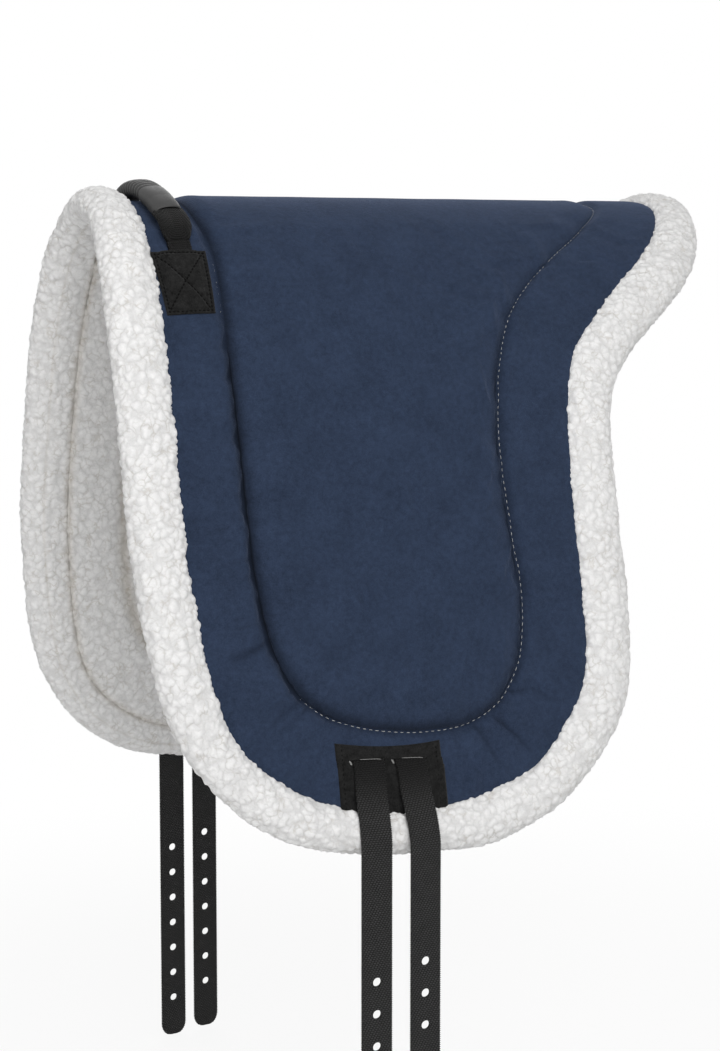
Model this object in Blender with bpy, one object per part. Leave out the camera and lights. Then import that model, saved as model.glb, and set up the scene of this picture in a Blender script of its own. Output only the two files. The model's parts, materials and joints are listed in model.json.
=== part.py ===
"""Bareback pad: a quilted pad draped in an arch, with a rolled fleece edge, a grab handle and girth straps.

The pad is laid out flat first. In the flat pattern, x runs along the spine from the pommel (negative) to the
cantle (positive), t is the distance down the side from the spine, and h is the height above the cover. The
function drape() hangs that pattern over the arch. Near side is -Y, off side is +Y, and up is +Z.
The origin is on the fleece underside, on the spine, half way along the pad.
"""
import math

import bmesh
import bpy
from mathutils import Matrix, Vector

MM = 0.001

# Arch of the pad.
PAD_THICKNESS = 24.0 * MM
SIDE_SLOPE = math.radians(80.3)
ARCH_LENGTH = 98.0 * MM
ARCH_GROWTH = 0.05
SPINE_RISE = 0.0375

# Flat pattern, in millimetres, as (x, t). Front lines run from the spine down, rear lines too.
SEAM_FRONT = [(-205, 0), (-203, 40), (-199, 75), (-199, 110), (-203, 160), (-204, 230), (-202, 310),
              (-198, 360), (-190, 410), (-165, 458)]
SEAM_BOTTOM = [(-165, 458), (-142, 474), (-98, 488), (-52, 493), (-16, 487), (12, 461)]
SEAM_REAR = [(190, 0), (185, 40), (168, 65), (122, 98), (80, 132), (53, 160), (26, 220), (18, 285), (20, 350),
             (24, 400), (12, 461)]
EDGE_FRONT = [(-250, 0), (-250, 50), (-250, 100), (-252, 160), (-253, 230), (-253, 310), (-249, 370),
              (-237, 448)]
EDGE_FRONT_CORNER = [(-237, 448), (-229, 470), (-213, 494), (-196, 512), (-176, 526)]
EDGE_BOTTOM = [(-176, 526), (-138, 542), (-98, 550), (-58, 552), (-14, 547), (27, 531)]
EDGE_REAR_CORNER = [(27, 531), (46, 515), (62, 493), (73, 475), (79, 455)]
EDGE_REAR = [(252, 0), (248, 45), (230, 80), (203, 110), (170, 138), (145, 160), (103, 205), (87, 250),
             (82, 300), (80, 360), (80, 415), (79, 455)]
RIM_FRONT = [(-285, 0), (-286, 50), (-290, 100), (-292, 160)]
RIM_REAR = [(291, 0), (287, 45), (276, 80), (261, 110), (239, 138), (215, 160)]

# Each pair is a point of the cover's edge and the point of the rim outside it, round one flap.
FLAP_RIM = [((-252, 160), (-292, 160)), ((-253, 230), (-292, 230)), ((-253, 310), (-292, 310)),
            ((-249, 370), (-287, 374)), ((-241, 428), (-277, 437)), ((-229, 470), (-260, 483)),
            ((-205, 503), (-228, 527)), ((-165, 531), (-180, 561)), ((-120, 546), (-125, 577)),
            ((-75, 552), (-76, 584)), ((-25, 549), (-16, 586)), ((22, 534), (43, 567)),
            ((55, 504), (88, 530)), ((75, 468), (115, 484)), ((80, 415), (123, 416)),
            ((80, 360), (122, 358)), ((82, 300), (124, 299)), ((87, 250), (128, 257)),
            ((98, 213), (138, 232)), ((116, 188), (160, 205)), ((131, 173), (188, 182)),
            ((145, 160), (215, 160))]

# Section of the fleece roll: share of the way from the cover's edge to the rim, and height in millimetres.
ROLL_SECTION = [(0.0, -16.0), (0.0, -7.0), (0.0, 2.0), (0.14, 6.0), (0.4, 8.0), (0.7, 6.2), (0.92, 0.5),
                (1.0, -6.0), (0.93, -12.5), (0.72, -17.5), (0.42, -20.0), (0.12, -19.0)]
ROLL_CREST = 8.0 * MM
PART_GAP = 0.9 * MM

# Heights of the layers at the panel, at the seam, in the border and at the edge, in millimetres.
COVER_TOP = (3.5, -2.5, 0.0, 0.0)
COVER_THICKNESS = 2.0
FOAM_BOTTOM = (-16.2, -12.6, -15.4, -14.2)
LINING_THICKNESS = 7.5
LAYER_GAP = 0.3
BORDER_SHARES = (0.0, 0.22, 0.6, 1.0)
POMMEL_DIP = 9.0
SPINE_DIP = 3.2
DIP_REACH = 75.0

# Flap hinge lines, in the outermost surface of the pad.
HINGE_T = 160.0 * MM
FLAP_IN = math.radians(6.0)
HINGE_GAP = 0.5 * MM

# Rows and columns of the layer grids.
SEAT_ROWS = 14
PANEL_COLUMNS = 7
FLAP_ROWS = 8
PART_STEPS = 8

# Grab handle and its patches.
HANDLE_X = -226.0 * MM
HANDLE_LEAN = 0.12
HANDLE_FOOT_T = 96.0
HANDLE_FOOT_HEIGHT = 2.5
HANDLE_HEIGHTS = [(0, 5.5), (30, 5.5), (50, 6.8), (62, 8.4), (72, 8.4), (81, 6.4), (89, 4.2),
                  (96, HANDLE_FOOT_HEIGHT)]
HANDLE_WEBBING_WIDTH = 18.6 * MM
HANDLE_WEBBING_THICKNESS = 2.4 * MM
GRIP_WIDTH = 22.4 * MM
GRIP_HEIGHT = 14.2 * MM
GRIP_HALF_LENGTH = 66.0
RIB_HALF_LENGTH = 31.2
RIB_COUNT = 13
RIB_DEPTH = 1.1 * MM
HANDLE_PATCH_X = (-246.5, -240.0, -237.0, -215.0, -212.0, -205.5)
HANDLE_PATCH_T = (98.5, 112.0, 126.0, 140.0, 154.0)
PATCH_THICKNESS = 1.6
PATCH_RISE = 2.2

# Girth patches with two slots each, and the straps that come out of them.
GIRTH_PATCH_X = (-146.6, -134.8, -107.8, -100.3, -73.3, -59.5)
GIRTH_PATCH_T = (495.5, 508.5, 514.5, 530.5)
GIRTH_PATCH_MIDDLE = -102.0
GIRTH_PATCH_TILT = 0.12
STRAP_WIDTH = 25.0 * MM
STRAP_THICKNESS = 2.2 * MM
STRAP_RUN = [(511.1, 2.4), (513.7, 3.7), (518.5, 4.2), (532.0, 4.4), (547.0, 7.8), (560.0, 10.0),
             (574.0, 9.8)]
STRAP_JOINT = (576.0, 9.7)
STRAP_LENGTH = 285.0 * MM
STRAP_TIP = [(0.3, 0.0), (0.72, 4.0 * MM), (1.0, 12.0 * MM)]
HOLE_DIAMETER = 7.0 * MM
HOLE_SPACING = 25.0 * MM
HOLE_COUNT = 7
FRONT_FIRST_HOLE = 98.0 * MM
REAR_FIRST_HOLE = 90.0 * MM

# For each side: a strap's name, x at its slot, x where it leaves the roll, and its first hole.
STRAPS = {
    "near": (("front", -121.3, -123.9, FRONT_FIRST_HOLE), ("rear", -86.8, -83.4, REAR_FIRST_HOLE)),
    "off": (("front", -121.3, -127.0, FRONT_FIRST_HOLE), ("rear", -86.8, -92.5, REAR_FIRST_HOLE)),
}

NAVY = (0.028, 0.042, 0.088, 1.0)
FLEECE = (0.80, 0.79, 0.76, 1.0)
FOAM = (0.72, 0.66, 0.48, 1.0)
BLACK = (0.012, 0.012, 0.013, 1.0)
PATCH_BLACK = (0.018, 0.018, 0.02, 1.0)
RUBBER = (0.05, 0.05, 0.05, 1.0)


def clear_scene():
    for obj in list(bpy.data.objects):
        bpy.data.objects.remove(obj, do_unlink=True)


def arch(x, t):
    """Half width, drop and slope of the cover at a distance t down the side."""
    length = ARCH_LENGTH + ARCH_GROWTH * x
    steps = 24
    width = 0.0
    drop = 0.0
    for step in range(steps):
        part = t * (step + 0.5) / steps
        slope = SIDE_SLOPE * (1.0 - math.exp(-part / length))
        width += math.cos(slope) * t / steps
        drop += math.sin(slope) * t / steps
    return width, drop, SIDE_SLOPE * (1.0 - math.exp(-t / length))


def drape(x, t, h):
    """World position of a pattern point; t is negative on the near side."""
    side = -1.0 if t < 0.0 else 1.0
    width, drop, slope = arch(x, abs(t))
    y = side * (width + h * math.sin(slope))
    z = PAD_THICKNESS + SPINE_RISE * x - drop + h * math.cos(slope)
    return Vector((x, y, z))


def smooth_step(start, end, start_slope, end_slope, f):
    """Value at a share f of a smooth curve with given end values and end slopes."""
    f2 = f * f
    f3 = f2 * f
    ends = start * (2 * f3 - 3 * f2 + 1) + end * (3 * f2 - 2 * f3)
    return ends + start_slope * (f3 - 2 * f2 + f) + end_slope * (f3 - f2)


def along(points, share):
    """Point at a share of the way along a smooth line through the points."""
    last = len(points) - 1
    place = max(0.0, min(1.0, share)) * last
    index = min(int(place), last - 1)
    f = place - index
    p1 = Vector(points[index])
    p2 = Vector(points[index + 1])
    p0 = Vector(points[index - 1]) if index > 0 else p1 * 2.0 - p2
    p3 = Vector(points[index + 2]) if index + 2 <= last else p2 * 2.0 - p1
    return smooth_step(p1, p2, (p2 - p0) * 0.5, (p3 - p1) * 0.5, f)


def at_row(points, t):
    """x of a line at a distance t down the side; the line's points run in order of t."""
    for index in range(len(points) - 1):
        x1, t1 = points[index]
        x2, t2 = points[index + 1]
        if t <= t2 or index == len(points) - 2:
            before = points[index - 1] if index > 0 else (x1 - (x2 - x1), t1 - (t2 - t1))
            after = points[index + 2] if index + 2 < len(points) else (x2 + (x2 - x1), t2 + (t2 - t1))
            span = t2 - t1
            f = (t - t1) / span
            slope_in = (x2 - before[0]) / (t2 - before[1]) * span
            slope_out = (after[0] - x1) / (after[1] - t1) * span
            return smooth_step(x1, x2, slope_in, slope_out, f)
    return points[-1][0]


def part_of(points, start, end):
    """The stretch of a line between two distances down the side, as points in order of t."""
    rows = [start + (end - start) * step / PART_STEPS for step in range(PART_STEPS + 1)]
    return [(at_row(points, t), t) for t in rows]


def blend_block(top, bottom, left, right, u, v):
    """Point inside a block with four curved sides. Sides run left to right and top to bottom."""
    a = along(top, u) * (1 - v) + along(bottom, u) * v
    b = along(left, v) * (1 - u) + along(right, v) * u
    c1 = along(top, 0.0) * (1 - u) + along(top, 1.0) * u
    c2 = along(bottom, 0.0) * (1 - u) + along(bottom, 1.0) * u
    return a + b - (c1 * (1 - v) + c2 * v)


def border_height(values, share):
    """Height of a layer across the border band, from the seam to the edge."""
    heights = (values[1], values[2], values[2], values[3])
    for index in range(3):
        if share <= BORDER_SHARES[index + 1] + 1e-6:
            f = (share - BORDER_SHARES[index]) / (BORDER_SHARES[index + 1] - BORDER_SHARES[index])
            return heights[index] * (1 - f) + heights[index + 1] * f
    return heights[3]


def panel_height(values, steps_in):
    """Height of a layer inside the seam, by the number of grid steps away from the seam."""
    if steps_in <= 0:
        return values[1]
    if steps_in == 1:
        return values[1] + (values[0] - values[1]) * 0.8
    return values[0]


def layer_heights(layer, place):
    """Top and bottom of a layer at a place, which is (border share or None, steps in, t in mm)."""
    share, steps_in, t = place

    def level(values):
        if share is None:
            return panel_height(values, steps_in)
        return border_height(values, share)

    cover = level(COVER_TOP)
    if abs(t) < DIP_REACH:
        fade = 1.0 - (t / DIP_REACH) ** 2
        if share is None:
            cover -= SPINE_DIP * fade if steps_in > 0 else 0.0
        elif share > 0.1 and steps_in < 0:
            cover -= POMMEL_DIP * fade
    foam = level(FOAM_BOTTOM)
    if layer == "cover":
        return cover, cover - COVER_THICKNESS
    if layer == "foam":
        return cover - COVER_THICKNESS - LAYER_GAP, foam
    return foam - LAYER_GAP, foam - LAYER_GAP - LINING_THICKNESS


def seat_place(column, row):
    """Pattern point and height place of a grid vertex of the seat."""
    border = len(BORDER_SHARES) - 1
    t = -HINGE_T / MM + 2.0 * HINGE_T / MM * row / SEAT_ROWS
    a = abs(t)
    columns = border * 2 + PANEL_COLUMNS
    if column <= border:
        share = BORDER_SHARES[border - column]
        x = at_row(SEAM_FRONT, a) * (1 - share) + at_row(EDGE_FRONT, a) * share
        return x, t, (share, -1, t)
    if column >= columns - border:
        share = BORDER_SHARES[column - (columns - border)]
        x = at_row(SEAM_REAR, a) * (1 - share) + at_row(EDGE_REAR, a) * share
        return x, t, (share, 1, t)
    f = (column - border) / PANEL_COLUMNS
    x = at_row(SEAM_FRONT, a) * (1 - f) + at_row(SEAM_REAR, a) * f
    return x, t, (None, min(column - border, columns - border - column), t)


def flap_place(column, row):
    """Pattern point and height place of a grid vertex of a flap; row 0 lies on the hinge line."""
    border = len(BORDER_SHARES) - 1
    columns = border * 2 + PANEL_COLUMNS
    hinge = HINGE_T / MM
    seam_left = part_of(SEAM_FRONT, hinge, SEAM_FRONT[-1][1])
    seam_right = part_of(SEAM_REAR, hinge, SEAM_REAR[-1][1])
    edge_left = part_of(EDGE_FRONT, hinge, EDGE_FRONT[-1][1])
    edge_right = part_of(EDGE_REAR, hinge, EDGE_REAR[-1][1])
    v = min(row / FLAP_ROWS, 1.0)
    u = min(max((column - border) / PANEL_COLUMNS, 0.0), 1.0)
    low = BORDER_SHARES[row - FLAP_ROWS] if row > FLAP_ROWS else 0.0
    if border <= column <= columns - border and row <= FLAP_ROWS:
        top = [seam_left[0], seam_right[0]]
        point = blend_block(top, SEAM_BOTTOM, seam_left, seam_right, u, v)
        steps_in = min(column - border, columns - border - column, FLAP_ROWS - row)
        return point.x, point.y, (None if steps_in > 0 else 0.0, steps_in, 999.0)
    if row <= FLAP_ROWS:
        front = column < border
        share = BORDER_SHARES[border - column] if front else BORDER_SHARES[column - (columns - border)]
        seam = along(seam_left if front else seam_right, v)
        edge = along(edge_left if front else edge_right, v)
        point = seam * (1 - share) + edge * share
        return point.x, point.y, (share, 0, 999.0)
    if border <= column <= columns - border:
        point = along(SEAM_BOTTOM, u) * (1 - low) + along(EDGE_BOTTOM, u) * low
        return point.x, point.y, (low, 0, 999.0)
    front = column < border
    side = BORDER_SHARES[border - column] if front else BORDER_SHARES[column - (columns - border)]
    seam = Vector(SEAM_BOTTOM[0] if front else SEAM_BOTTOM[-1])
    if front:
        ray_side = [seam, Vector(EDGE_FRONT[-1])]
        ray_low = [seam, Vector(EDGE_BOTTOM[0])]
        curve_side = EDGE_FRONT_CORNER[:3]
        curve_low = list(reversed(EDGE_FRONT_CORNER[2:]))
    else:
        ray_side = [seam, Vector(EDGE_REAR[-1])]
        ray_low = [seam, Vector(EDGE_BOTTOM[-1])]
        curve_side = list(reversed(EDGE_REAR_CORNER[2:]))
        curve_low = EDGE_REAR_CORNER[:3]
    point = blend_block(ray_side, curve_low, ray_low, curve_side, side, low)
    return point.x, point.y, (max(side, low), 0, 999.0)


def hinge_shift(t, h):
    """Share of the hinge gap at a point of a flap; deeper layers need more room to swing in."""
    fade = max(0.0, 1.0 - (abs(t) - HINGE_T) / (18.0 * MM))
    return (HINGE_GAP + (ROLL_CREST - h) * math.sin(FLAP_IN)) * fade


def pattern_point(x, t, h, side):
    """World position of a flap's pattern point, moved clear of the hinge line."""
    moved = t + hinge_shift(t, h)
    return drape(x, side * moved, h)


def make_material(name, colour, roughness, sheen=0.0):
    material = bpy.data.materials.new(name)
    material.use_nodes = True
    shader = material.node_tree.nodes["Principled BSDF"]
    shader.inputs["Base Color"].default_value = colour
    shader.inputs["Roughness"].default_value = roughness
    shader.inputs["Sheen Weight"].default_value = sheen
    material.diffuse_color = colour
    return material


def finish_object(bm, name, collection, material, smooth=True):
    bmesh.ops.recalc_face_normals(bm, faces=bm.faces)
    if bm.calc_volume(signed=True) < 0.0:
        bmesh.ops.reverse_faces(bm, faces=bm.faces)
    mesh = bpy.data.meshes.new(name)
    bm.to_mesh(mesh)
    bm.free()
    for face in mesh.polygons:
        face.use_smooth = smooth
    obj = bpy.data.objects.new(name, mesh)
    obj.data.materials.append(material)
    collection.objects.link(obj)
    return obj


def close_sheet(bm, upper, lower):
    """Joins the rims of an upper and a lower grid with a wall."""
    rim_upper = [edge for edge in bm.edges if edge.is_boundary and edge.verts[0] in upper]
    rim_lower = [edge for edge in bm.edges if edge.is_boundary and edge.verts[0] in lower]
    bmesh.ops.bridge_loops(bm, edges=rim_upper + rim_lower)


def make_layer(name, layer, side, collection, material):
    """A cover, foam or lining piece: side 0 is the seat, -1 the near flap and 1 the off flap."""
    border = len(BORDER_SHARES) - 1
    columns = border * 2 + PANEL_COLUMNS
    rows = SEAT_ROWS if side == 0 else FLAP_ROWS + border
    bm = bmesh.new()
    upper = set()
    lower = set()
    for is_top in (True, False):
        made = bmesh.ops.create_grid(bm, x_segments=columns, y_segments=rows, size=1.0)
        for vert in made["verts"]:
            column = round((vert.co.x + 1.0) * 0.5 * columns)
            row = round((vert.co.y + 1.0) * 0.5 * rows)
            x, t, place = seat_place(column, row) if side == 0 else flap_place(column, row)
            top, bottom = layer_heights(layer, place)
            h = (top if is_top else bottom) * MM
            if side == 0:
                vert.co = drape(x * MM, t * MM, h)
            else:
                vert.co = pattern_point(x * MM, t * MM, h, side)
            (upper if is_top else lower).add(vert)
    close_sheet(bm, upper, lower)
    return finish_object(bm, name, collection, material)


def roll_ring(bm, edge, rim, side, flap):
    """One ring of the fleece roll between a point of the cover's edge and a point of the rim."""
    edge = Vector(edge)
    rim = Vector(rim)
    start = edge + (rim - edge).normalized() * (PART_GAP / MM)
    ring = []
    for share, height in ROLL_SECTION:
        point = start + (rim - start) * share
        if flap:
            place = pattern_point(point.x * MM, point.y * MM, height * MM, side)
        else:
            place = drape(point.x * MM, point.y * MM, height * MM)
        ring.append(bm.verts.new(place))
    return ring


def skin_rings(bm, rings):
    """Walls between neighbouring rings and flat caps on both ends."""
    for first, second in zip(rings, rings[1:]):
        count = len(first)
        for index in range(count):
            other = (index + 1) % count
            bm.faces.new((first[index], first[other], second[other], second[index]))
    bm.faces.new(list(reversed(rings[0])))
    bm.faces.new(rings[-1])


def flap_edge_points():
    """Pattern points of a flap's edge, from the hinge line at the front to the hinge line at the rear."""
    border = len(BORDER_SHARES) - 1
    columns = border * 2 + PANEL_COLUMNS
    rows = FLAP_ROWS + border
    places = [(0, row) for row in range(rows)]
    places += [(column, rows) for column in range(columns)]
    places += [(columns, row) for row in range(rows, -1, -1)]
    return [flap_place(column, row)[:2] for column, row in places]


def rim_of(point):
    """The rim point that belongs to a point of a flap's edge."""
    edges = [pair[0] for pair in FLAP_RIM]
    rims = [pair[1] for pair in FLAP_RIM]
    shares = [step / 600.0 for step in range(601)]
    best = min(shares, key=lambda share: (along(edges, share) - Vector(point)).length)
    return along(rims, best)


def make_flap_roll(name, side, collection, material):
    bm = bmesh.new()
    rings = [roll_ring(bm, point, rim_of(point), side, True) for point in flap_edge_points()]
    skin_rings(bm, rings)
    return finish_object(bm, name, collection, material)


def make_end_roll(name, edge_line, rim_line, collection, material):
    """Fleece roll across the arch, at the pommel or the cantle; its rings meet the rows of the seat."""
    bm = bmesh.new()
    hinge = HINGE_T / MM
    rings = []
    for step in range(SEAT_ROWS + 1):
        t = -hinge + 2.0 * hinge * step / SEAT_ROWS
        a = abs(t)
        rings.append(roll_ring(bm, (at_row(edge_line, a), t), (at_row(rim_line, a), t), 1, False))
    skin_rings(bm, rings)
    return finish_object(bm, name, collection, material)


def make_sheet(name, xs, rows_at, bottom_at, thickness, side, collection, material, holes=()):
    """A thin patch laid on the pad: xs are its columns, rows_at(x) gives the rows of a column."""
    bm = bmesh.new()
    columns = len(xs) - 1
    rows = len(rows_at(xs[0])) - 1
    upper = set()
    lower = set()
    for is_top in (True, False):
        made = bmesh.ops.create_grid(bm, x_segments=columns, y_segments=rows, size=1.0)
        gone = []
        for vert in made["verts"]:
            column = round((vert.co.x + 1.0) * 0.5 * columns)
            row = round((vert.co.y + 1.0) * 0.5 * rows)
            x = xs[column]
            h = bottom_at(x) + (thickness if is_top else 0.0)
            (upper if is_top else lower).add(vert)
            vert.co = Vector((column, row, h))
        layer = upper if is_top else lower
        for face in bm.faces:
            middle = face.calc_center_median()
            if face.verts[0] in layer and (int(middle.x), int(middle.y)) in holes:
                gone.append(face)
        bmesh.ops.delete(bm, geom=gone, context="FACES")
        for vert in layer:
            column = round(vert.co.x)
            x = xs[column]
            t = rows_at(x)[round(vert.co.y)]
            vert.co = drape(x * MM, side * t * MM, vert.co.z * MM)
    rim = [edge for edge in bm.edges if edge.is_boundary]
    walls = []
    for edge in rim:
        if edge.verts[0] in upper:
            walls.append(edge)
    pairs = {}
    upper_list = [vert for vert in bm.verts if vert in upper]
    lower_list = [vert for vert in bm.verts if vert in lower]
    for first, second in zip(upper_list, lower_list):
        pairs[first] = second
    for edge in walls:
        a, b = edge.verts
        bm.faces.new((a, b, pairs[b], pairs[a]))
    return finish_object(bm, name, collection, material, smooth=False)


def handle_patch_bottom(x):
    raised = HANDLE_PATCH_X[2] - 0.1 <= x <= HANDLE_PATCH_X[3] + 0.1
    return 0.4 + (PATCH_RISE if raised else 0.0)


def make_handle_patch(name, side, collection, material):
    rows = list(HANDLE_PATCH_T)
    return make_sheet(name, HANDLE_PATCH_X, lambda x: rows, handle_patch_bottom, PATCH_THICKNESS, side,
                      collection, material)


def make_handle_end(name, side, collection, material):
    """The sewn end of the handle webbing, under its patch."""
    middle = HANDLE_X / MM
    half = HANDLE_WEBBING_WIDTH / MM / 2.0
    rows = [HANDLE_PATCH_T[0] + 0.6, 112.0, 126.0, 140.0, 150.0]
    return make_sheet(name, (middle - half, middle + half), lambda x: rows, lambda x: 0.4, 1.8, side,
                      collection, material)


def girth_patch_rows(x):
    """Rows of the girth patch at x; the lowest row follows the cover's edge."""
    edge = along(EDGE_BOTTOM, 0.5).y
    best = 1e9
    for step in range(201):
        point = along(EDGE_BOTTOM, step / 200.0)
        if abs(point.x - x) < best:
            best = abs(point.x - x)
            edge = point.y
    tilt = GIRTH_PATCH_TILT * (x - GIRTH_PATCH_MIDDLE)
    return [t + tilt for t in GIRTH_PATCH_T] + [edge - 1.2]


def make_girth_patch(name, side, collection, material):
    slots = ((1, 1), (3, 1))
    return make_sheet(name, GIRTH_PATCH_X, girth_patch_rows, lambda x: 0.4, PATCH_THICKNESS, side, collection,
                      material, slots)


def sweep_strip(bm, centres, normals, across, width, thickness):
    """A flat strip through the centres, as wide as given along the vector across."""
    rings = []
    for centre, normal in zip(centres, normals):
        ring = []
        for i, j in ((-1, -1), (1, -1), (1, 1), (-1, 1)):
            ring.append(bm.verts.new(centre + across * (i * width / 2.0) + normal * (j * thickness / 2.0)))
        rings.append(ring)
    skin_rings(bm, rings)


def path_normals(centres, across):
    normals = []
    for index in range(len(centres)):
        before = centres[max(index - 1, 0)]
        after = centres[min(index + 1, len(centres) - 1)]
        normal = (after - before).cross(across)
        normals.append(normal.normalized())
    return normals


def strap_point(slot_x, joint_x, t, h, side):
    """A point of a strap's run: the strap slants from its slot to the place where it leaves the roll."""
    first = STRAP_RUN[0][0]
    share = (t - first) / (STRAP_JOINT[0] - first)
    tilt = GIRTH_PATCH_TILT * (slot_x - GIRTH_PATCH_MIDDLE) * max(0.0, 1.0 - share * 3.0)
    x = slot_x + (joint_x - slot_x) * share
    return drape(x * MM, side * (t + tilt) * MM, h * MM)


def strap_across(x, side):
    """Direction across a strap, level with the pad under it."""
    before = drape((x - 10.0) * MM, side * 540.0 * MM, 4.0 * MM)
    after = drape((x + 10.0) * MM, side * 540.0 * MM, 4.0 * MM)
    return (after - before).normalized()


def make_upper_strap(name, slot_x, joint_x, side, collection, material):
    """First stretch of a girth strap: out of the slot, over the patch and the roll."""
    centres = [strap_point(slot_x, joint_x, t, h, side) for t, h in STRAP_RUN]
    across = strap_across(joint_x, side)
    bm = bmesh.new()
    sweep_strip(bm, centres, path_normals(centres, across), across, STRAP_WIDTH, STRAP_THICKNESS)
    obj = finish_object(bm, name, collection, material, smooth=False)
    set_origin(obj, centres[0])
    return obj


def set_origin(obj, point):
    """Moves the object's origin to a point without moving its mesh in the world."""
    obj.data.transform(Matrix.Translation(-point))
    obj.location = point


def make_lower_strap(name, x, side, first_hole, collection, cutters, material):
    """Free end of a girth strap: hangs straight down from the lower edge of the roll, with punched holes."""
    top = drape(x * MM, side * STRAP_JOINT[0] * MM, STRAP_JOINT[1] * MM)
    half_width = STRAP_WIDTH / 2.0
    half = STRAP_THICKNESS / 2.0
    right = [(share * half_width, rise - STRAP_LENGTH) for share, rise in STRAP_TIP] + [(half_width, 0.0)]
    outline = right + [(-px, pz) for px, pz in reversed(right)]
    bm = bmesh.new()
    verts = [bm.verts.new((px, -half, pz)) for px, pz in outline]
    bm.faces.new(verts)
    made = bmesh.ops.extrude_face_region(bm, geom=bm.faces[:])
    moved = [item for item in made["geom"] if isinstance(item, bmesh.types.BMVert)]
    bmesh.ops.translate(bm, verts=moved, vec=(0.0, half * 2.0, 0.0))
    top_edges = [edge for edge in bm.edges
                 if abs(edge.verts[0].co.z) < 1e-6 and abs(edge.verts[1].co.z) < 1e-6
                 and abs(edge.verts[0].co.x - edge.verts[1].co.x) > half_width]
    bmesh.ops.bevel(bm, geom=top_edges, offset=half * 0.98, segments=3, affect="EDGES", profile=0.5)
    obj = finish_object(bm, name, collection, material, smooth=False)
    across = strap_across(x, side)
    turn = math.atan2(across.y, across.x)

    bm = bmesh.new()
    for index in range(HOLE_COUNT):
        depth = -first_hole - index * HOLE_SPACING
        place = Matrix.Translation((0.0, 0.0, depth)) @ Matrix.Rotation(math.radians(90.0), 4, "X")
        bmesh.ops.create_cone(bm, cap_ends=True, segments=12, radius1=HOLE_DIAMETER / 2.0,
                              radius2=HOLE_DIAMETER / 2.0, depth=STRAP_THICKNESS * 4.0, matrix=place)
    cutter = finish_object(bm, name + "_holes", cutters, material, smooth=False)
    for item in (obj, cutter):
        item.data.transform(Matrix.Translation((0.0, 0.0, half)))
        item.location = top
        item.rotation_euler = (0.0, 0.0, turn)
    cutter.display_type = "WIRE"
    cutter.hide_render = True
    cut = obj.modifiers.new("holes", "BOOLEAN")
    cut.operation = "DIFFERENCE"
    cut.solver = "EXACT"
    cut.object = cutter
    return obj


def handle_height(t):
    last = HANDLE_HEIGHTS[-1][1]
    for index in range(len(HANDLE_HEIGHTS) - 1):
        t1, h1 = HANDLE_HEIGHTS[index]
        t2, h2 = HANDLE_HEIGHTS[index + 1]
        if abs(t) <= t2:
            f = (abs(t) - t1) / (t2 - t1)
            f = max(0.0, f)
            before = HANDLE_HEIGHTS[index - 1][1] if index > 0 else h2
            after = HANDLE_HEIGHTS[index + 2][1] if index + 2 < len(HANDLE_HEIGHTS) else h2 * 2 - h1
            return smooth_step(h1, h2, (h2 - before) * 0.5, (after - h1) * 0.5, f)
    return last


def handle_axis():
    """Middle of the line about which the handle tips, between its two feet."""
    foot = drape(HANDLE_X, HANDLE_FOOT_T * MM, HANDLE_FOOT_HEIGHT * MM)
    return Vector((HANDLE_X, 0.0, foot.z))


def handle_centre(t):
    point = drape(HANDLE_X, t * MM, handle_height(t) * MM)
    point.x -= HANDLE_LEAN * max(0.0, point.z - handle_axis().z)
    return point


def handle_frame(t):
    """Centre of the handle at t, with the direction across it and the direction out of the arch."""
    centre = handle_centre(t)
    ahead = handle_centre(t + 0.5) - handle_centre(t - 0.5)
    across = Vector((1.0, 0.0, HANDLE_LEAN)).normalized()
    out = ahead.cross(across).normalized()
    if out.z < 0.0:
        out.negate()
    across = out.cross(ahead).normalized()
    if across.x < 0.0:
        across.negate()
    return centre, across, out


def make_handle_webbing(name, collection, material):
    bm = bmesh.new()
    steps = [0, 7, 14, 21, 28, 35, 42, 49, 56, 62, 68, 74, 80, 84, 88, 92, 96]
    stations = [-step for step in reversed(steps[1:])] + steps
    rings = []
    for t in stations:
        centre, across, out = handle_frame(float(t))
        ring = []
        for i, j in ((-1, -1), (1, -1), (1, 1), (-1, 1)):
            ring.append(bm.verts.new(centre + across * (i * HANDLE_WEBBING_WIDTH / 2.0)
                                     + out * (j * HANDLE_WEBBING_THICKNESS / 2.0)))
        rings.append(ring)
    skin_rings(bm, rings)
    obj = finish_object(bm, name, collection, material, smooth=False)
    set_origin(obj, handle_axis())
    return obj


def grip_stations():
    """Places along the handle with the share of the full section there: plain ends, ribs in the middle."""
    pitch = 2.0 * RIB_HALF_LENGTH / RIB_COUNT
    plain = [GRIP_HALF_LENGTH - step for step in (0.0, 3.0, 9.0, 15.0, 21.0, 27.0)] + [RIB_HALF_LENGTH + 1.0]
    stations = [(-t, 1.0) for t in plain]
    for index in range(RIB_COUNT):
        start = -RIB_HALF_LENGTH + index * pitch
        stations.append((start + pitch * 0.08, 0.0))
        stations.append((start + pitch * 0.36, 1.0))
        stations.append((start + pitch * 0.72, 1.0))
    stations.append((RIB_HALF_LENGTH - pitch * 0.08, 0.0))
    stations += [(t, 1.0) for t in reversed(plain)]
    return stations


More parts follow.
